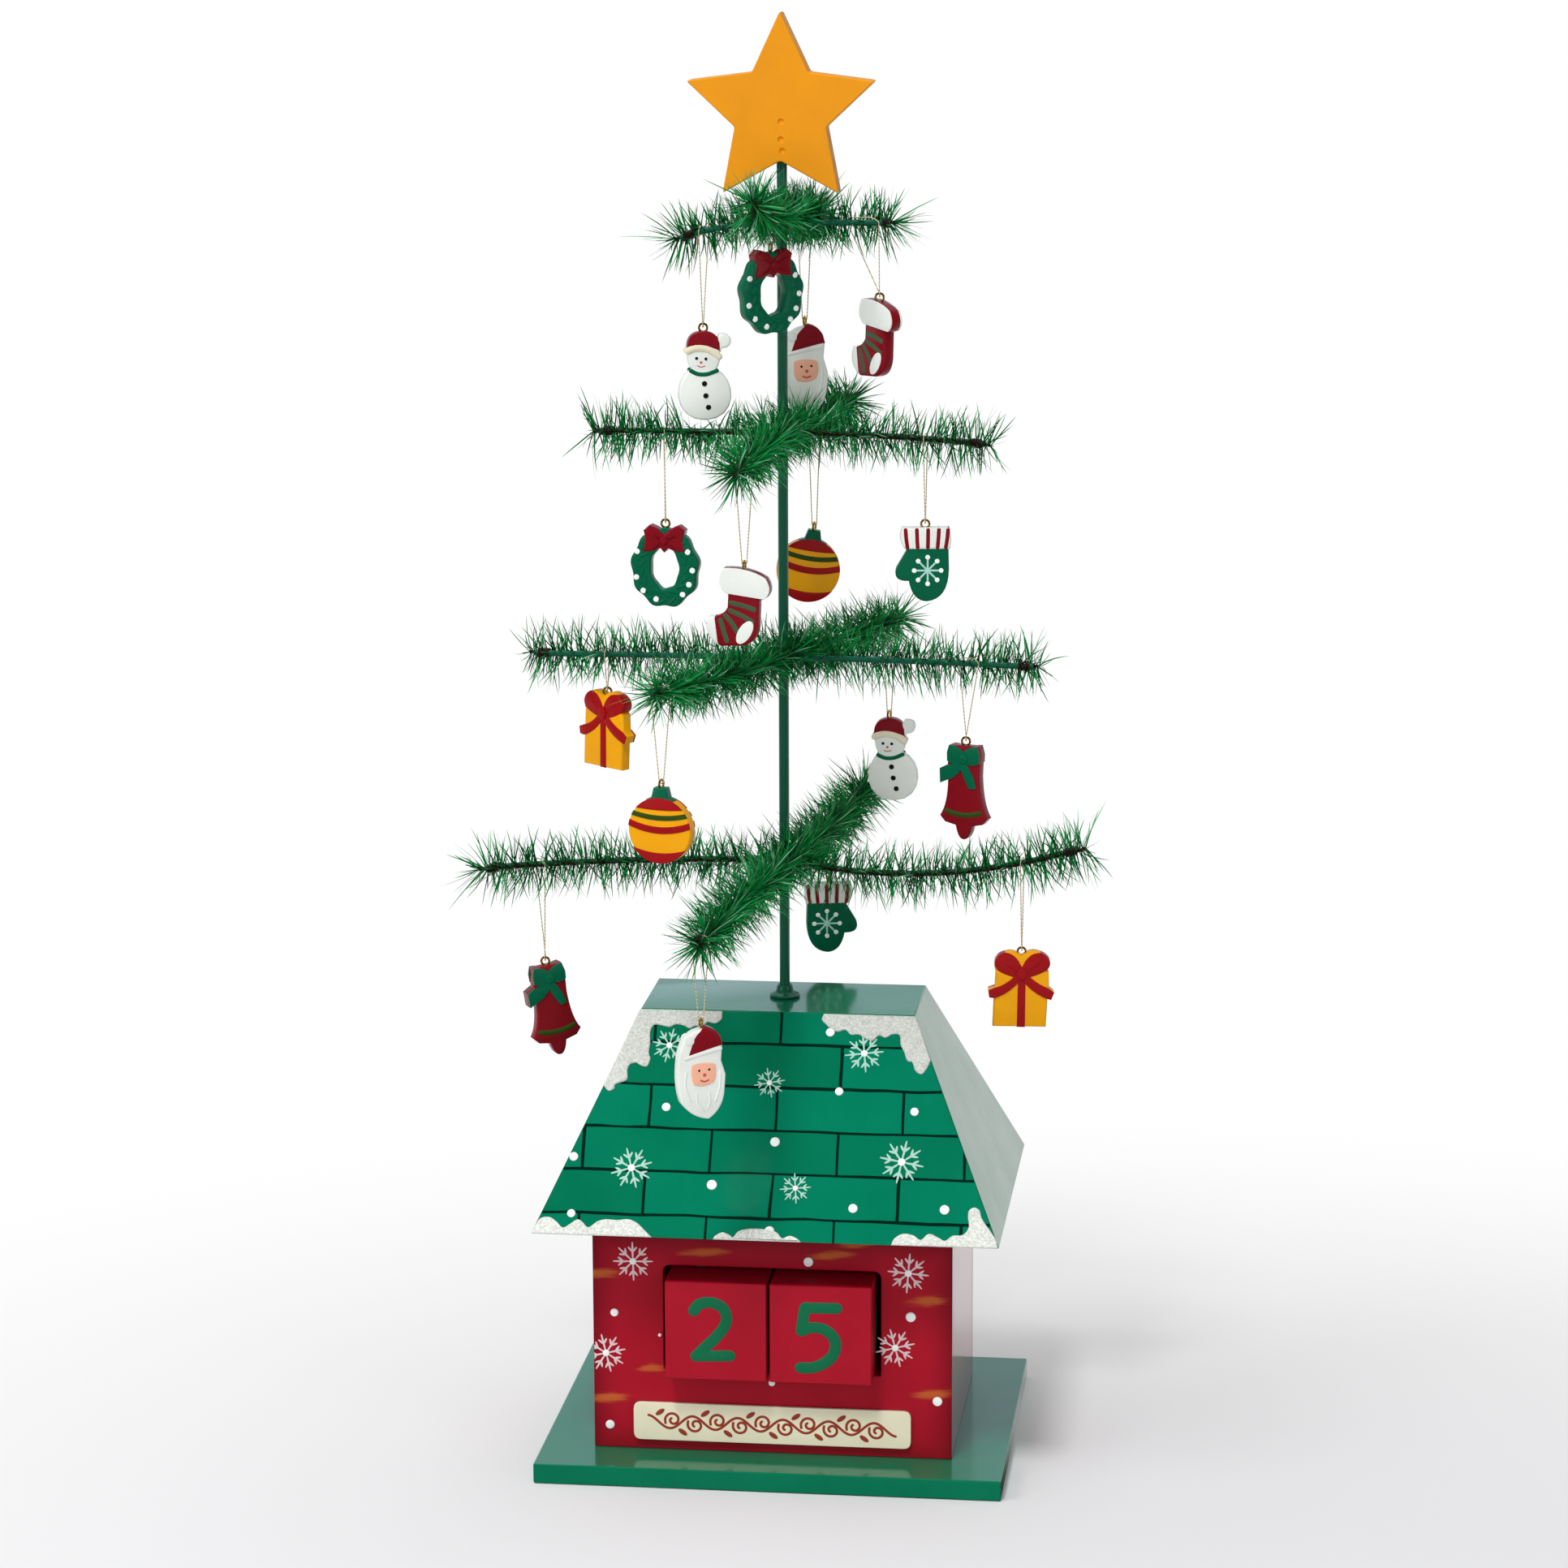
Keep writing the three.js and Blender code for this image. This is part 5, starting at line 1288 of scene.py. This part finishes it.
# %% One model of each kind
makers = {"snowman": make_snowman, "santa": make_santa, "stocking": make_stocking, "mitten": make_mitten,
          "wreath": make_wreath, "ball": make_ball, "gift": make_gift, "bell": make_bell}
models = {kind: join("model_" + kind, make()) for kind, make in makers.items()}
print("kinds", {kind: len(model.data.polygons) for kind, model in models.items()})

# %% [markdown]
# ## Arms
# Each tier has four arms on a sleeve around the trunk. An arm leaves in its own direction, rises or sinks
# a little and may sag. This table holds what the tree's maker bent by hand: for each arm its heading,
# length, rise and sag, and the ornament with its place on the arm, drop, turn and tilt. The last three
# columns say how far the two strands of its thread lie before and behind the ornament, and how much the
# needles fan out at the arm's end.


# %% The 16 arms
tier_heights = {"tier1": 306, "tier2": 225, "tier3": 136.5, "tier4": 55.5}
roof_top = flange_low.z / MM
tree_axis = axis / MM
up_z = Vector((0, 0, 1))
arm_radius, wire_radius, wire_gap, hub_gap, hub_lift = 1.2, 0.9, 2.4, 4.6, 2.4
hub_run, settled_run, wire_overhang = 7.0, 16.0, 3.0
arm_rows = """
tier1 left 180 39 -6 0 snowman 31 38.5 15 0 -2 1 0.9
tier1 right 0 41 0 0 stocking 37.5 30 -45 0 -13 0 1
tier1 front 258 39 10 0 wreath 17 11.5 40 0 -1 1 0.8
tier1 back 80 39 0 0 santa 26.5 42 12 0 -0.5 0.5 0.8
tier2 left 180 71 0 0 wreath 46 37.5 -8 0 -0.3 0.9 0.35
tier2 right 0 78 -3.5 0 mitten 55.5 34.5 7 0 -0.5 0.5 0.25
tier2 front 262 75 -5 0 stocking 61 40.5 -6 0 -2 2 0.7
tier2 back 78 75 3 0 ball 35 44 8 -9 -2 2 0.6
tier3 left 180 98 0 0 gift 70 16.5 -36 0 -0.5 0.5 0.2
tier3 right 0 97 -2 0 bell 71.5 32.5 -20 0 -3 5 0.2
tier3 front 248 101 3 0 ball 97 36.5 -14 0 -2 2 0.6
tier3 back 70 98 0 0 snowman 93.5 40.5 0 3 -0.5 0.5 0.6
tier4 left 180 119 -6 0 bell 96 41 30 8 -1 4 0.9
tier4 right 0 116 7 5.8 gift 94 37 7 0 -0.5 0.5 0.3
tier4 front 261 122 -5 0 santa 118 33 24 0 -0.5 0.5 1.2
tier4 back 81.5 120 4 0 mitten 64 25 192 0 -1 1 0.7
"""
columns = ("heading", "length", "rise", "sag", "along", "drop", "turn", "tilt", "loop_in", "loop_out",
           "fan")
arms = []
for row in arm_rows.split("\n")[1:-1]:
    words = row.split()
    arm = dict(zip(columns, [float(word) for word in words[2:6] + words[7:]]))
    arm.update(tier=words[0], side=words[1], kind=words[6], z=roof_top + tier_heights[words[0]])
    heading = math.radians(arm["heading"])
    arm["axis"] = Vector((math.cos(heading), math.sin(heading), 0))
    crosswise = arm["side"] in ("left", "right")
    wire_behind = crosswise and arm["tier"] in ("tier1", "tier3")
    flip = -1 if (arm["side"] in ("left", "front")) == wire_behind else 1
    arm["beside"] = Vector((-arm["axis"].y, arm["axis"].x, 0)) * flip
    arms.append(arm)


def arm_point(arm, run):
    """A point on the middle line of an arm's rod, in millimetres."""
    share = run / arm["length"]
    z = arm["z"] + arm["rise"] * share ** 2 - 4 * arm["sag"] * share * (1 - share)
    return Vector((tree_axis.x, tree_axis.y, z)) + arm["axis"] * run


def wire_point(arm, run):
    """A point on the middle line of the wire beside it."""
    share = min(max((run - hub_run) / (settled_run - hub_run), 0), 1)
    settled = share * share * (3 - 2 * share)
    point = arm_point(arm, run) + arm["beside"] * (hub_gap + (wire_gap - hub_gap) * settled)
    point.z += (1 - settled) * hub_lift
    return point


hang_shift = (wire_gap + wire_radius - arm_radius) / 2
for arm in arms:
    arm["hang"] = arm_point(arm, arm["along"]) + arm["beside"] * hang_shift
    print(arm["tier"], arm["side"], "hangs", arm["kind"], "at", [round(v, 1) for v in arm["hang"]])

# %% Rods
def tube(name, lines, radius, material, roundness=2, closed=False):
    """Round wire or rod along lines in millimetres."""
    curve = bpy.data.curves.new(name, "CURVE")
    curve.dimensions = "3D"
    curve.bevel_depth = radius
    curve.bevel_resolution = roundness
    curve.use_fill_caps = True
    for line in lines:
        spline = curve.splines.new("POLY")
        spline.points.add(len(line) - 1)
        for point, place in zip(spline.points, line):
            point.co = (*place, 1)
        spline.use_cyclic_u = closed
    return in_metres(curve_to_mesh(name, curve), material)


rod_steps = 24
sleeve_bore, sleeve_radius, sleeve_half = trunk_radius + 0.05, 3.4, 3.9
for tier in tier_heights:
    rods = []
    for arm in [arm for arm in arms if arm["tier"] == tier]:
        length = arm["length"]
        runs = [trunk_radius + (length - trunk_radius) * i / rod_steps for i in range(rod_steps + 1)]
        line = [arm_point(arm, run) for run in runs]
        rods.append(tube("rod", [line], arm_radius, rod_enamel, roundness=6))
        end = [arm_point(arm, length - 0.1), arm_point(arm, length + 0.55)]
        rods.append(tube("rod_end", [end], arm_radius * 0.8, rod_enamel, roundness=6))
    middle = roof_top + tier_heights[tier]
    low, high = middle - sleeve_half, middle + sleeve_half
    sleeve = turned("sleeve", [
        (sleeve_bore, low), (sleeve_radius - 0.3, low), (sleeve_radius, low + 0.5),
        (sleeve_radius, high - 0.5), (sleeve_radius - 0.3, high), (sleeve_bore, high),
        (sleeve_bore, low)], axis, rod_enamel, sides=32)
    arm_cross = join(tier + "_arm_rods_enamelled", rods + [sleeve])
    finished(arm_cross, "tree", "green_metal", tier + "_arm_rods")
print("rods", len(arms))

# %% [markdown]
# ## Hanging the ornaments
# Each ornament hangs from a screw eye of brass wire by a loop of gold thread that goes over the arm and
# through the eye. The loop's two strands lie a little apart on the arm, so they meet in a V at the eye.

# %% Gold thread
# Spun metallic yarn: pale and dark bands wind along it, so it glitters more than it shines. The lay is
# drawn coarser than the real one, so that it shows in the render.
yarn_lay = 2.2
gold_thread, tree = new_material("spun_pale_gold_thread")
place = add_node(tree, "TexCoord").outputs["Object"]
twist = add_node(tree, "TexWave", {"wave_type": "BANDS", "bands_direction": "DIAGONAL"}, {
    "Vector": place, "Scale": 1 / (yarn_lay * MM), "Distortion": 1.0})
spun = add_node(tree, "ValToRGB", None, {0: twist.outputs[0]})
spun.color_ramp.elements[0].color = linear("#B39C58")
spun.color_ramp.elements[1].color = linear("#EDE6CC")
shader = add_node(tree, "BsdfPrincipled", None, {
    "Base Color": spun.outputs[0], "Roughness": 0.5, "Metallic": 0.25, "IOR": 1.5})
add_node(tree, "OutputMaterial", None, {"Surface": shader.outputs[0]})
print("yarn lay", yarn_lay, "mm")

# %% Eyes and threads
eye_radius, eye_wire, eye_seat, eye_top, shank_depth = 1.6, 0.45, 1.45, 2.6, 1.5
thread_radius, thread_room = 0.21, 0.69


def eye_lines(arm):
    """The ring of a screw eye, standing in the plane of the arm, and its shank."""
    seat = arm["hang"] - up_z * arm["drop"]
    ring = []
    for i in range(32):
        angle = math.tau * i / 32
        ring.append(seat + arm["axis"] * eye_radius * math.cos(angle)
                    + up_z * (eye_seat + eye_radius * math.sin(angle)))
    return ring, [seat - up_z * shank_depth, seat + up_z * 0.1]


def thread_line(arm):
    """The closed path of a thread: over rod and wire, down one side, through the eye and up again."""
    over_wire = wire_radius + thread_room + thread_radius
    over_rod = arm_radius + thread_room + thread_radius
    inside = eye_wire + 0.3 + thread_radius
    wire_at = wire_gap - hang_shift
    path = []
    for i in range(7):
        angle = math.radians(15 * i)
        path.append((wire_at + over_wire * math.cos(angle), over_wire * math.sin(angle)))
    for i in range(7):
        angle = math.radians(90 + 15 * i)
        path.append((-hang_shift + over_rod * math.cos(angle), over_rod * math.sin(angle)))
    low = eye_top - arm["drop"]
    for i in range(9):
        angle = math.radians(180 + 22.5 * i)
        path.append((inside * math.cos(angle), low + inside * math.sin(angle)))
    line = []
    widest = path[0][0]
    for across, z in path:
        height = min(max((z - low) / -low, 0), 1)
        swap = (across + widest) / (2 * widest)
        along = height * (arm["loop_out"] + (arm["loop_in"] - arm["loop_out"]) * swap)
        line.append(arm["hang"] + arm["beside"] * across + arm["axis"] * along + up_z * z)
    return line


print("thread", 2 * thread_radius, "mm thick, eyes", 2 * eye_radius, "mm across")

# %% Ornaments in their places
ornament_slots = {"snowman": "white", "santa": "white", "stocking": "crimson", "bell": "crimson",
                  "wreath": "green", "mitten": "green", "ball": "gold", "gift": "gold"}
to_wall = Matrix.Rotation(math.radians(90), 4, "X")
for arm in arms:
    body = f"{arm['tier']}_{arm['side']}"
    node = f"{body}_{arm['kind']}"
    ornament = copied("ornament", models[arm["kind"]])
    seat = (arm["hang"] - up_z * arm["drop"]) * MM
    ornament.matrix_world = (
        Matrix.Translation(seat)
        @ Matrix.Rotation(math.radians(arm["turn"]), 4, "Z")
        @ Matrix.Rotation(-math.radians(arm["tilt"]), 4, "Y")
        @ to_wall)
    settle(ornament)
    ring, shank = eye_lines(arm)
    eye = [tube("eye", [ring], eye_wire, brass, roundness=3, closed=True),
           tube("shank", [shank], eye_wire, brass, roundness=3)]
    ornament = join(node + "_painted", [ornament] + eye)
    finished(ornament, body, "ornament_" + ornament_slots[arm["kind"]], node)
    arm["piece"] = ornament
    thread = tube(body + "_thread_spun", [thread_line(arm)], thread_radius, gold_thread, 2, closed=True)
    finished(thread, body, "thread", body + "_thread")
for model in models.values():
    remove(model)
print("ornaments", len(arms))

# %% [markdown]
# ## Tinsel
# Tinsel is made by laying thin strips of cut plastic across a wire and twisting the wire with a second
# one, so the strips stand out all round like a bottle brush, in two rows that wind about the wire. In
# each tier one tinsel wire runs from left to right and another from front to back, and dark iron wire
# binds them to the ends of the rods. Thousands of needles are quickest written as mesh data: each is a
# thin blade with a pointed tip, a little bent, that leans somewhat either way along the wire and fans
# out at its end.

# %% Tinsel colours
# Thin cut plastic, slightly see-through, whose tone differs from needle to needle. Painted shade darkens
# each needle at its root and painted light brightens it towards its tip; the very tips and the palest few
# needles are painted highlights.
tip_highlight_from, tip_highlight_share, see_through = 0.72, 0.35, 0.4
needle_film, tree = new_material("cut_green_plastic_film")
tone = add_node(tree, "Attribute", {"attribute_name": "tone"}).outputs["Fac"]
reach = add_node(tree, "Attribute", {"attribute_name": "reach"}).outputs["Fac"]
shades = add_node(tree, "ValToRGB", None, {0: tone})
ramp = shades.color_ramp
ramp.elements[0].color = linear("#004A20")
ramp.elements[1].position = 0.45
ramp.elements[1].color = linear("#008A3C")
ramp.elements.new(0.88).color = linear("#0BAA52")
# Painted highlights: the palest few needles stand for glints of light.
ramp.elements.new(0.97).color = linear("#9AD2B0")
# Painted shade darkens the root of each needle, and painted light brightens it towards its tip.
root_shade_tip_light = add_node(tree, "MapRange", None, {
    "Value": reach, "From Min": 0.0, "From Max": 0.7, "To Min": 0.5, "To Max": 1.15})
body = add_node(tree, "VectorMath", {"operation": "SCALE"}, {
    0: shades.outputs[0], "Scale": root_shade_tip_light.outputs[0]})
# Painted highlight: the very tip of each needle turns pale.
tip_highlight = add_node(tree, "MapRange", None, {
    "Value": reach, "From Min": tip_highlight_from, "From Max": 1.0, "To Min": 0.0, "To Max": tip_highlight_share})
colour = add_node(tree, "Mix", {"data_type": "RGBA"}, {
    0: tip_highlight.outputs[0], 6: body.outputs[0], 7: linear("#8CCBA5")})
face = add_node(tree, "BsdfPrincipled", None, {
    "Base Color": colour.outputs[2], "Roughness": 0.45, "IOR": 1.45, "Specular IOR Level": 0.2})
through = add_node(tree, "BsdfTranslucent", None, {"Color": colour.outputs[2]})
film = add_node(tree, "MixShader", None, {0: see_through, 1: face.outputs[0], 2: through.outputs[0]})
add_node(tree, "OutputMaterial", None, {"Surface": film.outputs[0]})
# Annealed iron wire has a dark brown skin, so it hardly shines between the needles.
iron_wire = gloss_metal("dark_brown_annealed_wire", "#2E1712", 0.45, metallic=0.3)
print("materials", len(bpy.data.materials))

# %% [markdown]
# ## Room for what swings
# An ornament can swing on its arm by 20 degrees either way, and the tinsel must not be in its way. Two
# search trees make that test quick: one holds each ornament's surface, the other holds points all along
# every thread at several steps of its swing. A needle that would reach into the trunk, the rod or one of
# these spaces is tried again at another angle, then shorter, and is left out if nothing helps.

# %% Space that the needles keep clear
swing = math.radians(20)
swing_steps = [swing * step / 4 for step in range(-4, 5)]
around, thread_point_gap, blade_point_gap, off_thread = 1.2, 0.5, 0.7, 0.65
for arm in arms:
    mesh = arm["piece"].data
    points = [v.co / MM for v in mesh.vertices]
    arm["tree"] = BVHTree.FromPolygons(points, [tuple(p.vertices) for p in mesh.polygons])
    offsets = [p - arm["hang"] for p in points]
    along = [o.dot(arm["axis"]) for o in offsets]
    arm["span"] = (min(along) - around, max(along) + around)
    arm["lowest"] = max((o - arm["axis"] * s).length for o, s in zip(offsets, along)) + around
swept = []
for arm in arms:
    line = thread_line(arm)
    for start, end in zip(line, line[1:] + line[:1]):
        steps = math.ceil((end - start).length / thread_point_gap)
        offsets = [start.lerp(end, i / steps) - arm["hang"] for i in range(steps)]
        swept += [Matrix.Rotation(turn, 3, arm["axis"]) @ offset + arm["hang"]
                  for offset in offsets for turn in swing_steps]
threads = KDTree(len(swept))
for i, point in enumerate(swept):
    threads.insert(point, i)
threads.balance()
print("points on swinging threads", len(swept))


def touches_thread(blade):
    """Whether a blade comes close to a thread at one of the steps of its swing."""
    for start, end in zip(blade, blade[1:]):
        steps = math.ceil((end - start).length / blade_point_gap)
        if any(threads.find(start.lerp(end, (i + 1) / steps))[2] < off_thread for i in range(steps)):
            return True
    return False


# How far strands stand out past an ornament, where they leave the arm, and the room that they need;
# how far an ornament reaches above its seat and aside, and the room that it needs.
strands_before, strands_behind, strand_start, strand_side, strand_room = 14, 6, 4.2, 3.4, 0.8
ornament_rise, ornament_side, ornament_search, ornament_room = 4, 1.2, 6.0, 0.9


def in_swing(point, arm):
    """Whether a point lies where an ornament or its thread may swing."""
    offset = point - arm["hang"]
    along = offset.dot(arm["axis"])
    first, last = arm["span"]
    if not first - strands_before < along < last + strands_behind:
        return False
    across = offset - arm["axis"] * along
    depth = across.length
    if depth > arm["lowest"]:
        return False
    angle = abs(math.atan2(math.hypot(across.x, across.y), -across.z))
    strand = max(1 - depth / (arm["drop"] - eye_top), 0)
    if strand_start < depth < arm["drop"] and angle < swing + math.asin(strand_side / depth):
        if any(abs(along - arm[loop] * strand) < strand_room for loop in ("loop_in", "loop_out")):
            return True
    if depth < arm["drop"] - ornament_rise or not first < along < last or angle > swing + ornament_side:
        return False
    for turn in swing_steps:
        turned_back = Matrix.Rotation(turn, 3, arm["axis"]) @ offset + arm["hang"]
        place, normal, _, distance = arm["tree"].find_nearest(turned_back, ornament_search)
        if place is not None and (distance < ornament_room or (turned_back - place).dot(normal) < 0):
            return True
    return False


def crosses_thread(start, end, arm):
    """Whether a stretch of a blade passes through the space of a swinging thread."""
    for reach in (arm["loop_in"], arm["loop_out"]):
        gaps = []
        for point in (start, end):
            offset = point - arm["hang"]
            along = offset.dot(arm["axis"])
            depth = (offset - arm["axis"] * along).length
            gaps.append(along - reach * max(1 - depth / (arm["drop"] - eye_top), 0))
        if gaps[0] * gaps[1] < 0 and in_swing(start.lerp(end, gaps[0] / (gaps[0] - gaps[1])), arm):
            return True
    return False


def is_clear(blade, own):
    """Whether a blade keeps out of the trunk, its rod and every swing space."""
    for point in blade[1:]:
        beside_trunk = math.hypot(point.x - tree_axis.x, point.y - tree_axis.y)
        if beside_trunk < trunk_radius + 0.5:
            return False
        run = min(max((point - arm_point(own, 0)).dot(own["axis"]), 0), own["length"])
        if (point - arm_point(own, run)).length < arm_radius + 0.2:
            return False
    reach = 2.5 * needle_longest
    near = [arm for arm in arms if (blade[0] - arm["hang"]).length < arm["lowest"] + reach]
    if touches_thread(blade) or any(in_swing(point, arm) for point in blade[1:] for arm in near):
        return False
    return not any(crosses_thread(a, b, arm) for a, b in zip(blade, blade[1:]) for arm in near)


# %% Needles
hand = random.Random(2025)
needles_per_mm = {"left": 9.0, "right": 8.5, "front": 11.0, "back": 11.0}
top_tier_share = 1.3
needle_shortest, needle_longest = 9.0, 16.5
needle_width, needle_depth = 0.56, 0.12
winding, fan_run = 11.0, 5
blade_shares = (0.0, 0.3, 0.6, 0.85, 1.0)
blade_widths = (0.8, 1.0, 0.85, 0.5)


def blade_points(root, forward, side, up, angle, lean, length, curl):
    """The middle line of one needle: five points from root to tip."""
    out = up * math.cos(angle) + side * math.sin(angle)
    start = (out + forward * lean).normalized()
    bend = forward * curl[0] + side * curl[1] * math.cos(angle) + up * curl[1] * math.sin(angle)
    return [root + start * length * t + bend * length * t * t for t in blade_shares]


def add_blade(points, out_across, tone, vertices, faces, tones, reaches):
    """Appends a blade: diamond sections that narrow to a point."""
    first = len(vertices)
    along = (points[-1] - points[0]).normalized()
    flat = along.cross(out_across).normalized()
    thick = along.cross(flat).normalized()
    for point, share, width in zip(points, blade_shares, blade_widths):
        a = flat * needle_width / 2 * width
        b = thick * needle_depth / 2 * width
        vertices += [point + a, point + b, point - a, point - b]
        tones += [tone] * 4
        reaches += [share] * 4
    vertices.append(points[-1])
    tones.append(tone)
    reaches.append(1.0)
    for ring in range(3):
        for k in range(4):
            a, b = first + 4 * ring + k, first + 4 * ring + (k + 1) % 4
            faces.append((a, b, b + 4, a + 4))
    last = first + 12
    faces.extend((last + k, last + (k + 1) % 4, last + 4) for k in range(4))
    faces.append((first + 3, first + 2, first + 1, first))


def tinsel_on(arm, vertices, faces, tones, reaches):
    """Dresses the wire of one arm with needles."""
    end = arm["length"] + wire_overhang
    share = top_tier_share if arm["tier"] == "tier1" else 1.0
    count = int(end * needles_per_mm[arm["side"]] * share)
    phase = hand.uniform(0, math.tau)
    made = 0
    for i in range(count):
        run = end * (i + hand.random()) / count
        root = wire_point(arm, run)
        forward = (wire_point(arm, run + 0.5) - wire_point(arm, run - 0.5)).normalized()
        side = forward.cross(up_z).normalized()
        up = side.cross(forward)
        near_end = max(0.0, 1 - (end - run) / fan_run)
        for attempt in range(4):
            angle = phase + math.tau * run / winding + math.pi * (i % 2)
            angle += hand.gauss(0, 0.5 + 0.5 * attempt)
            lean = hand.uniform(-0.30, 0.42) + near_end * arm["fan"] * hand.uniform(0.4, 1.9)
            length = hand.uniform(needle_shortest, needle_longest) * (1.0 if attempt < 3 else 0.55)
            length *= 1 + 0.4 * near_end * hand.random()
            curl = (hand.uniform(-0.22, 0.26), hand.gauss(0, 0.16))
            blade = blade_points(root, forward, side, up, angle, lean, length, curl)
            if is_clear(blade, arm):
                out = up * math.cos(angle) + side * math.sin(angle)
                twist = hand.uniform(0, math.tau)
                across = forward * math.cos(twist) + out.cross(forward) * math.sin(twist)
                add_blade(blade, across, hand.random(), vertices, faces, tones, reaches)
                made += 1
                break
    return made


# %% Wires and bindings
wire_step, wire_lay, binding_wire, binding_lay = 0.5, 4.6, 0.42, 0.92
hub_turns, hub_radius, hub_wire = 4, 5.6, 0.45


def twisted_pair(line, radius, lay):
    """Two strands that wind about a line."""
    strands = ([], [])
    travelled = 0.0
    for i, point in enumerate(line):
        before, after = line[max(i - 1, 0)], line[min(i + 1, len(line) - 1)]
        forward = (after - before).normalized()
        side = forward.cross(up_z).normalized()
        up = side.cross(forward)
        if i:
            travelled += (point - line[i - 1]).length
        angle = math.tau * travelled / lay
        out = (up * math.cos(angle) + side * math.sin(angle)) * radius
        strands[0].append(point + out)
        strands[1].append(point - out)
    return list(strands)


def binding(arm):
    """A coil of wire about the end of a rod and the tinsel wire beside it."""
    start = max(arm["length"] - 5.2, arm["along"] + arm["loop_out"] + 1.1)
    coil_run = min(4.6, arm["length"] + 0.4 - start)
    half_across, half_up = (arm_radius + wire_gap + wire_radius) / 2 + 0.35, arm_radius + 0.4
    middle = (wire_gap + wire_radius - arm_radius) / 2
    coil = []
    turns = round(coil_run / binding_lay)
    for i in range(turns * 14 + 1):
        angle = math.tau * i / 14
        run = start + coil_run * i / (turns * 14) + 0.15 * math.sin(3.3 * angle)
        coil.append(arm_point(arm, run) + arm["beside"] * (middle + half_across * math.cos(angle))
                    + up_z * half_up * math.sin(angle))
    return coil


def hub_coil(middle):
    """A loose coil of wire that holds the four arms' tinsel at the trunk."""
    coil = []
    steps = hub_turns * 20
    for i in range(steps + 1):
        angle = math.tau * i / 20
        radius = hub_radius + 0.5 * math.sin(2.3 * angle)
        rise = 5.5 * i / steps - 1.5 + 1.2 * math.sin(1.4 * angle)
        coil.append(Vector((tree_axis.x + radius * math.cos(angle),
                            tree_axis.y + radius * math.sin(angle), middle + rise)))
    return coil


# %% Tinsel of the four tiers
for tier in tier_heights:
    own = {arm["side"]: arm for arm in arms if arm["tier"] == tier}
    vertices, faces, tones, reaches = [], [], [], []
    made = [tinsel_on(arm, vertices, faces, tones, reaches) for arm in own.values()]
    mesh = bpy.data.meshes.new(tier + "_tinsel")
    mesh.from_pydata([v * MM for v in vertices], [], faces)
    for name, values in (("tone", tones), ("reach", reaches)):
        mesh.attributes.new(name, "FLOAT", "POINT").data.foreach_set("value", values)
    mesh.materials.append(needle_film)
    tinsel = placed(tier + "_tinsel_needles", mesh)
    finished(tinsel, "tree", "garland_needles", tier + "_garland")
    strands = []
    for first, second in ((own["left"], own["right"]), (own["front"], own["back"])):
        inward, outward = first["length"] + wire_overhang, second["length"] + wire_overhang
        line = [wire_point(first, inward - wire_step * i) for i in range(int(inward / wire_step))]
        line += [wire_point(second, wire_step * i) for i in range(1, int(outward / wire_step))]
        strands += twisted_pair(line, wire_radius * 0.45, wire_lay)
    bindings, hub = [binding(arm) for arm in own.values()], hub_coil(roof_top + tier_heights[tier])
    wires = [
        tube("strands", strands, wire_radius * 0.5, iron_wire, 1),
        tube("bindings", bindings, binding_wire, iron_wire, 1),
        tube("hub", [hub], hub_wire, iron_wire, 1)]
    finished(join(tier + "_tinsel_wire", wires), "tree", "garland_needles")
    print(tier, "needles", made, "faces", len(faces))
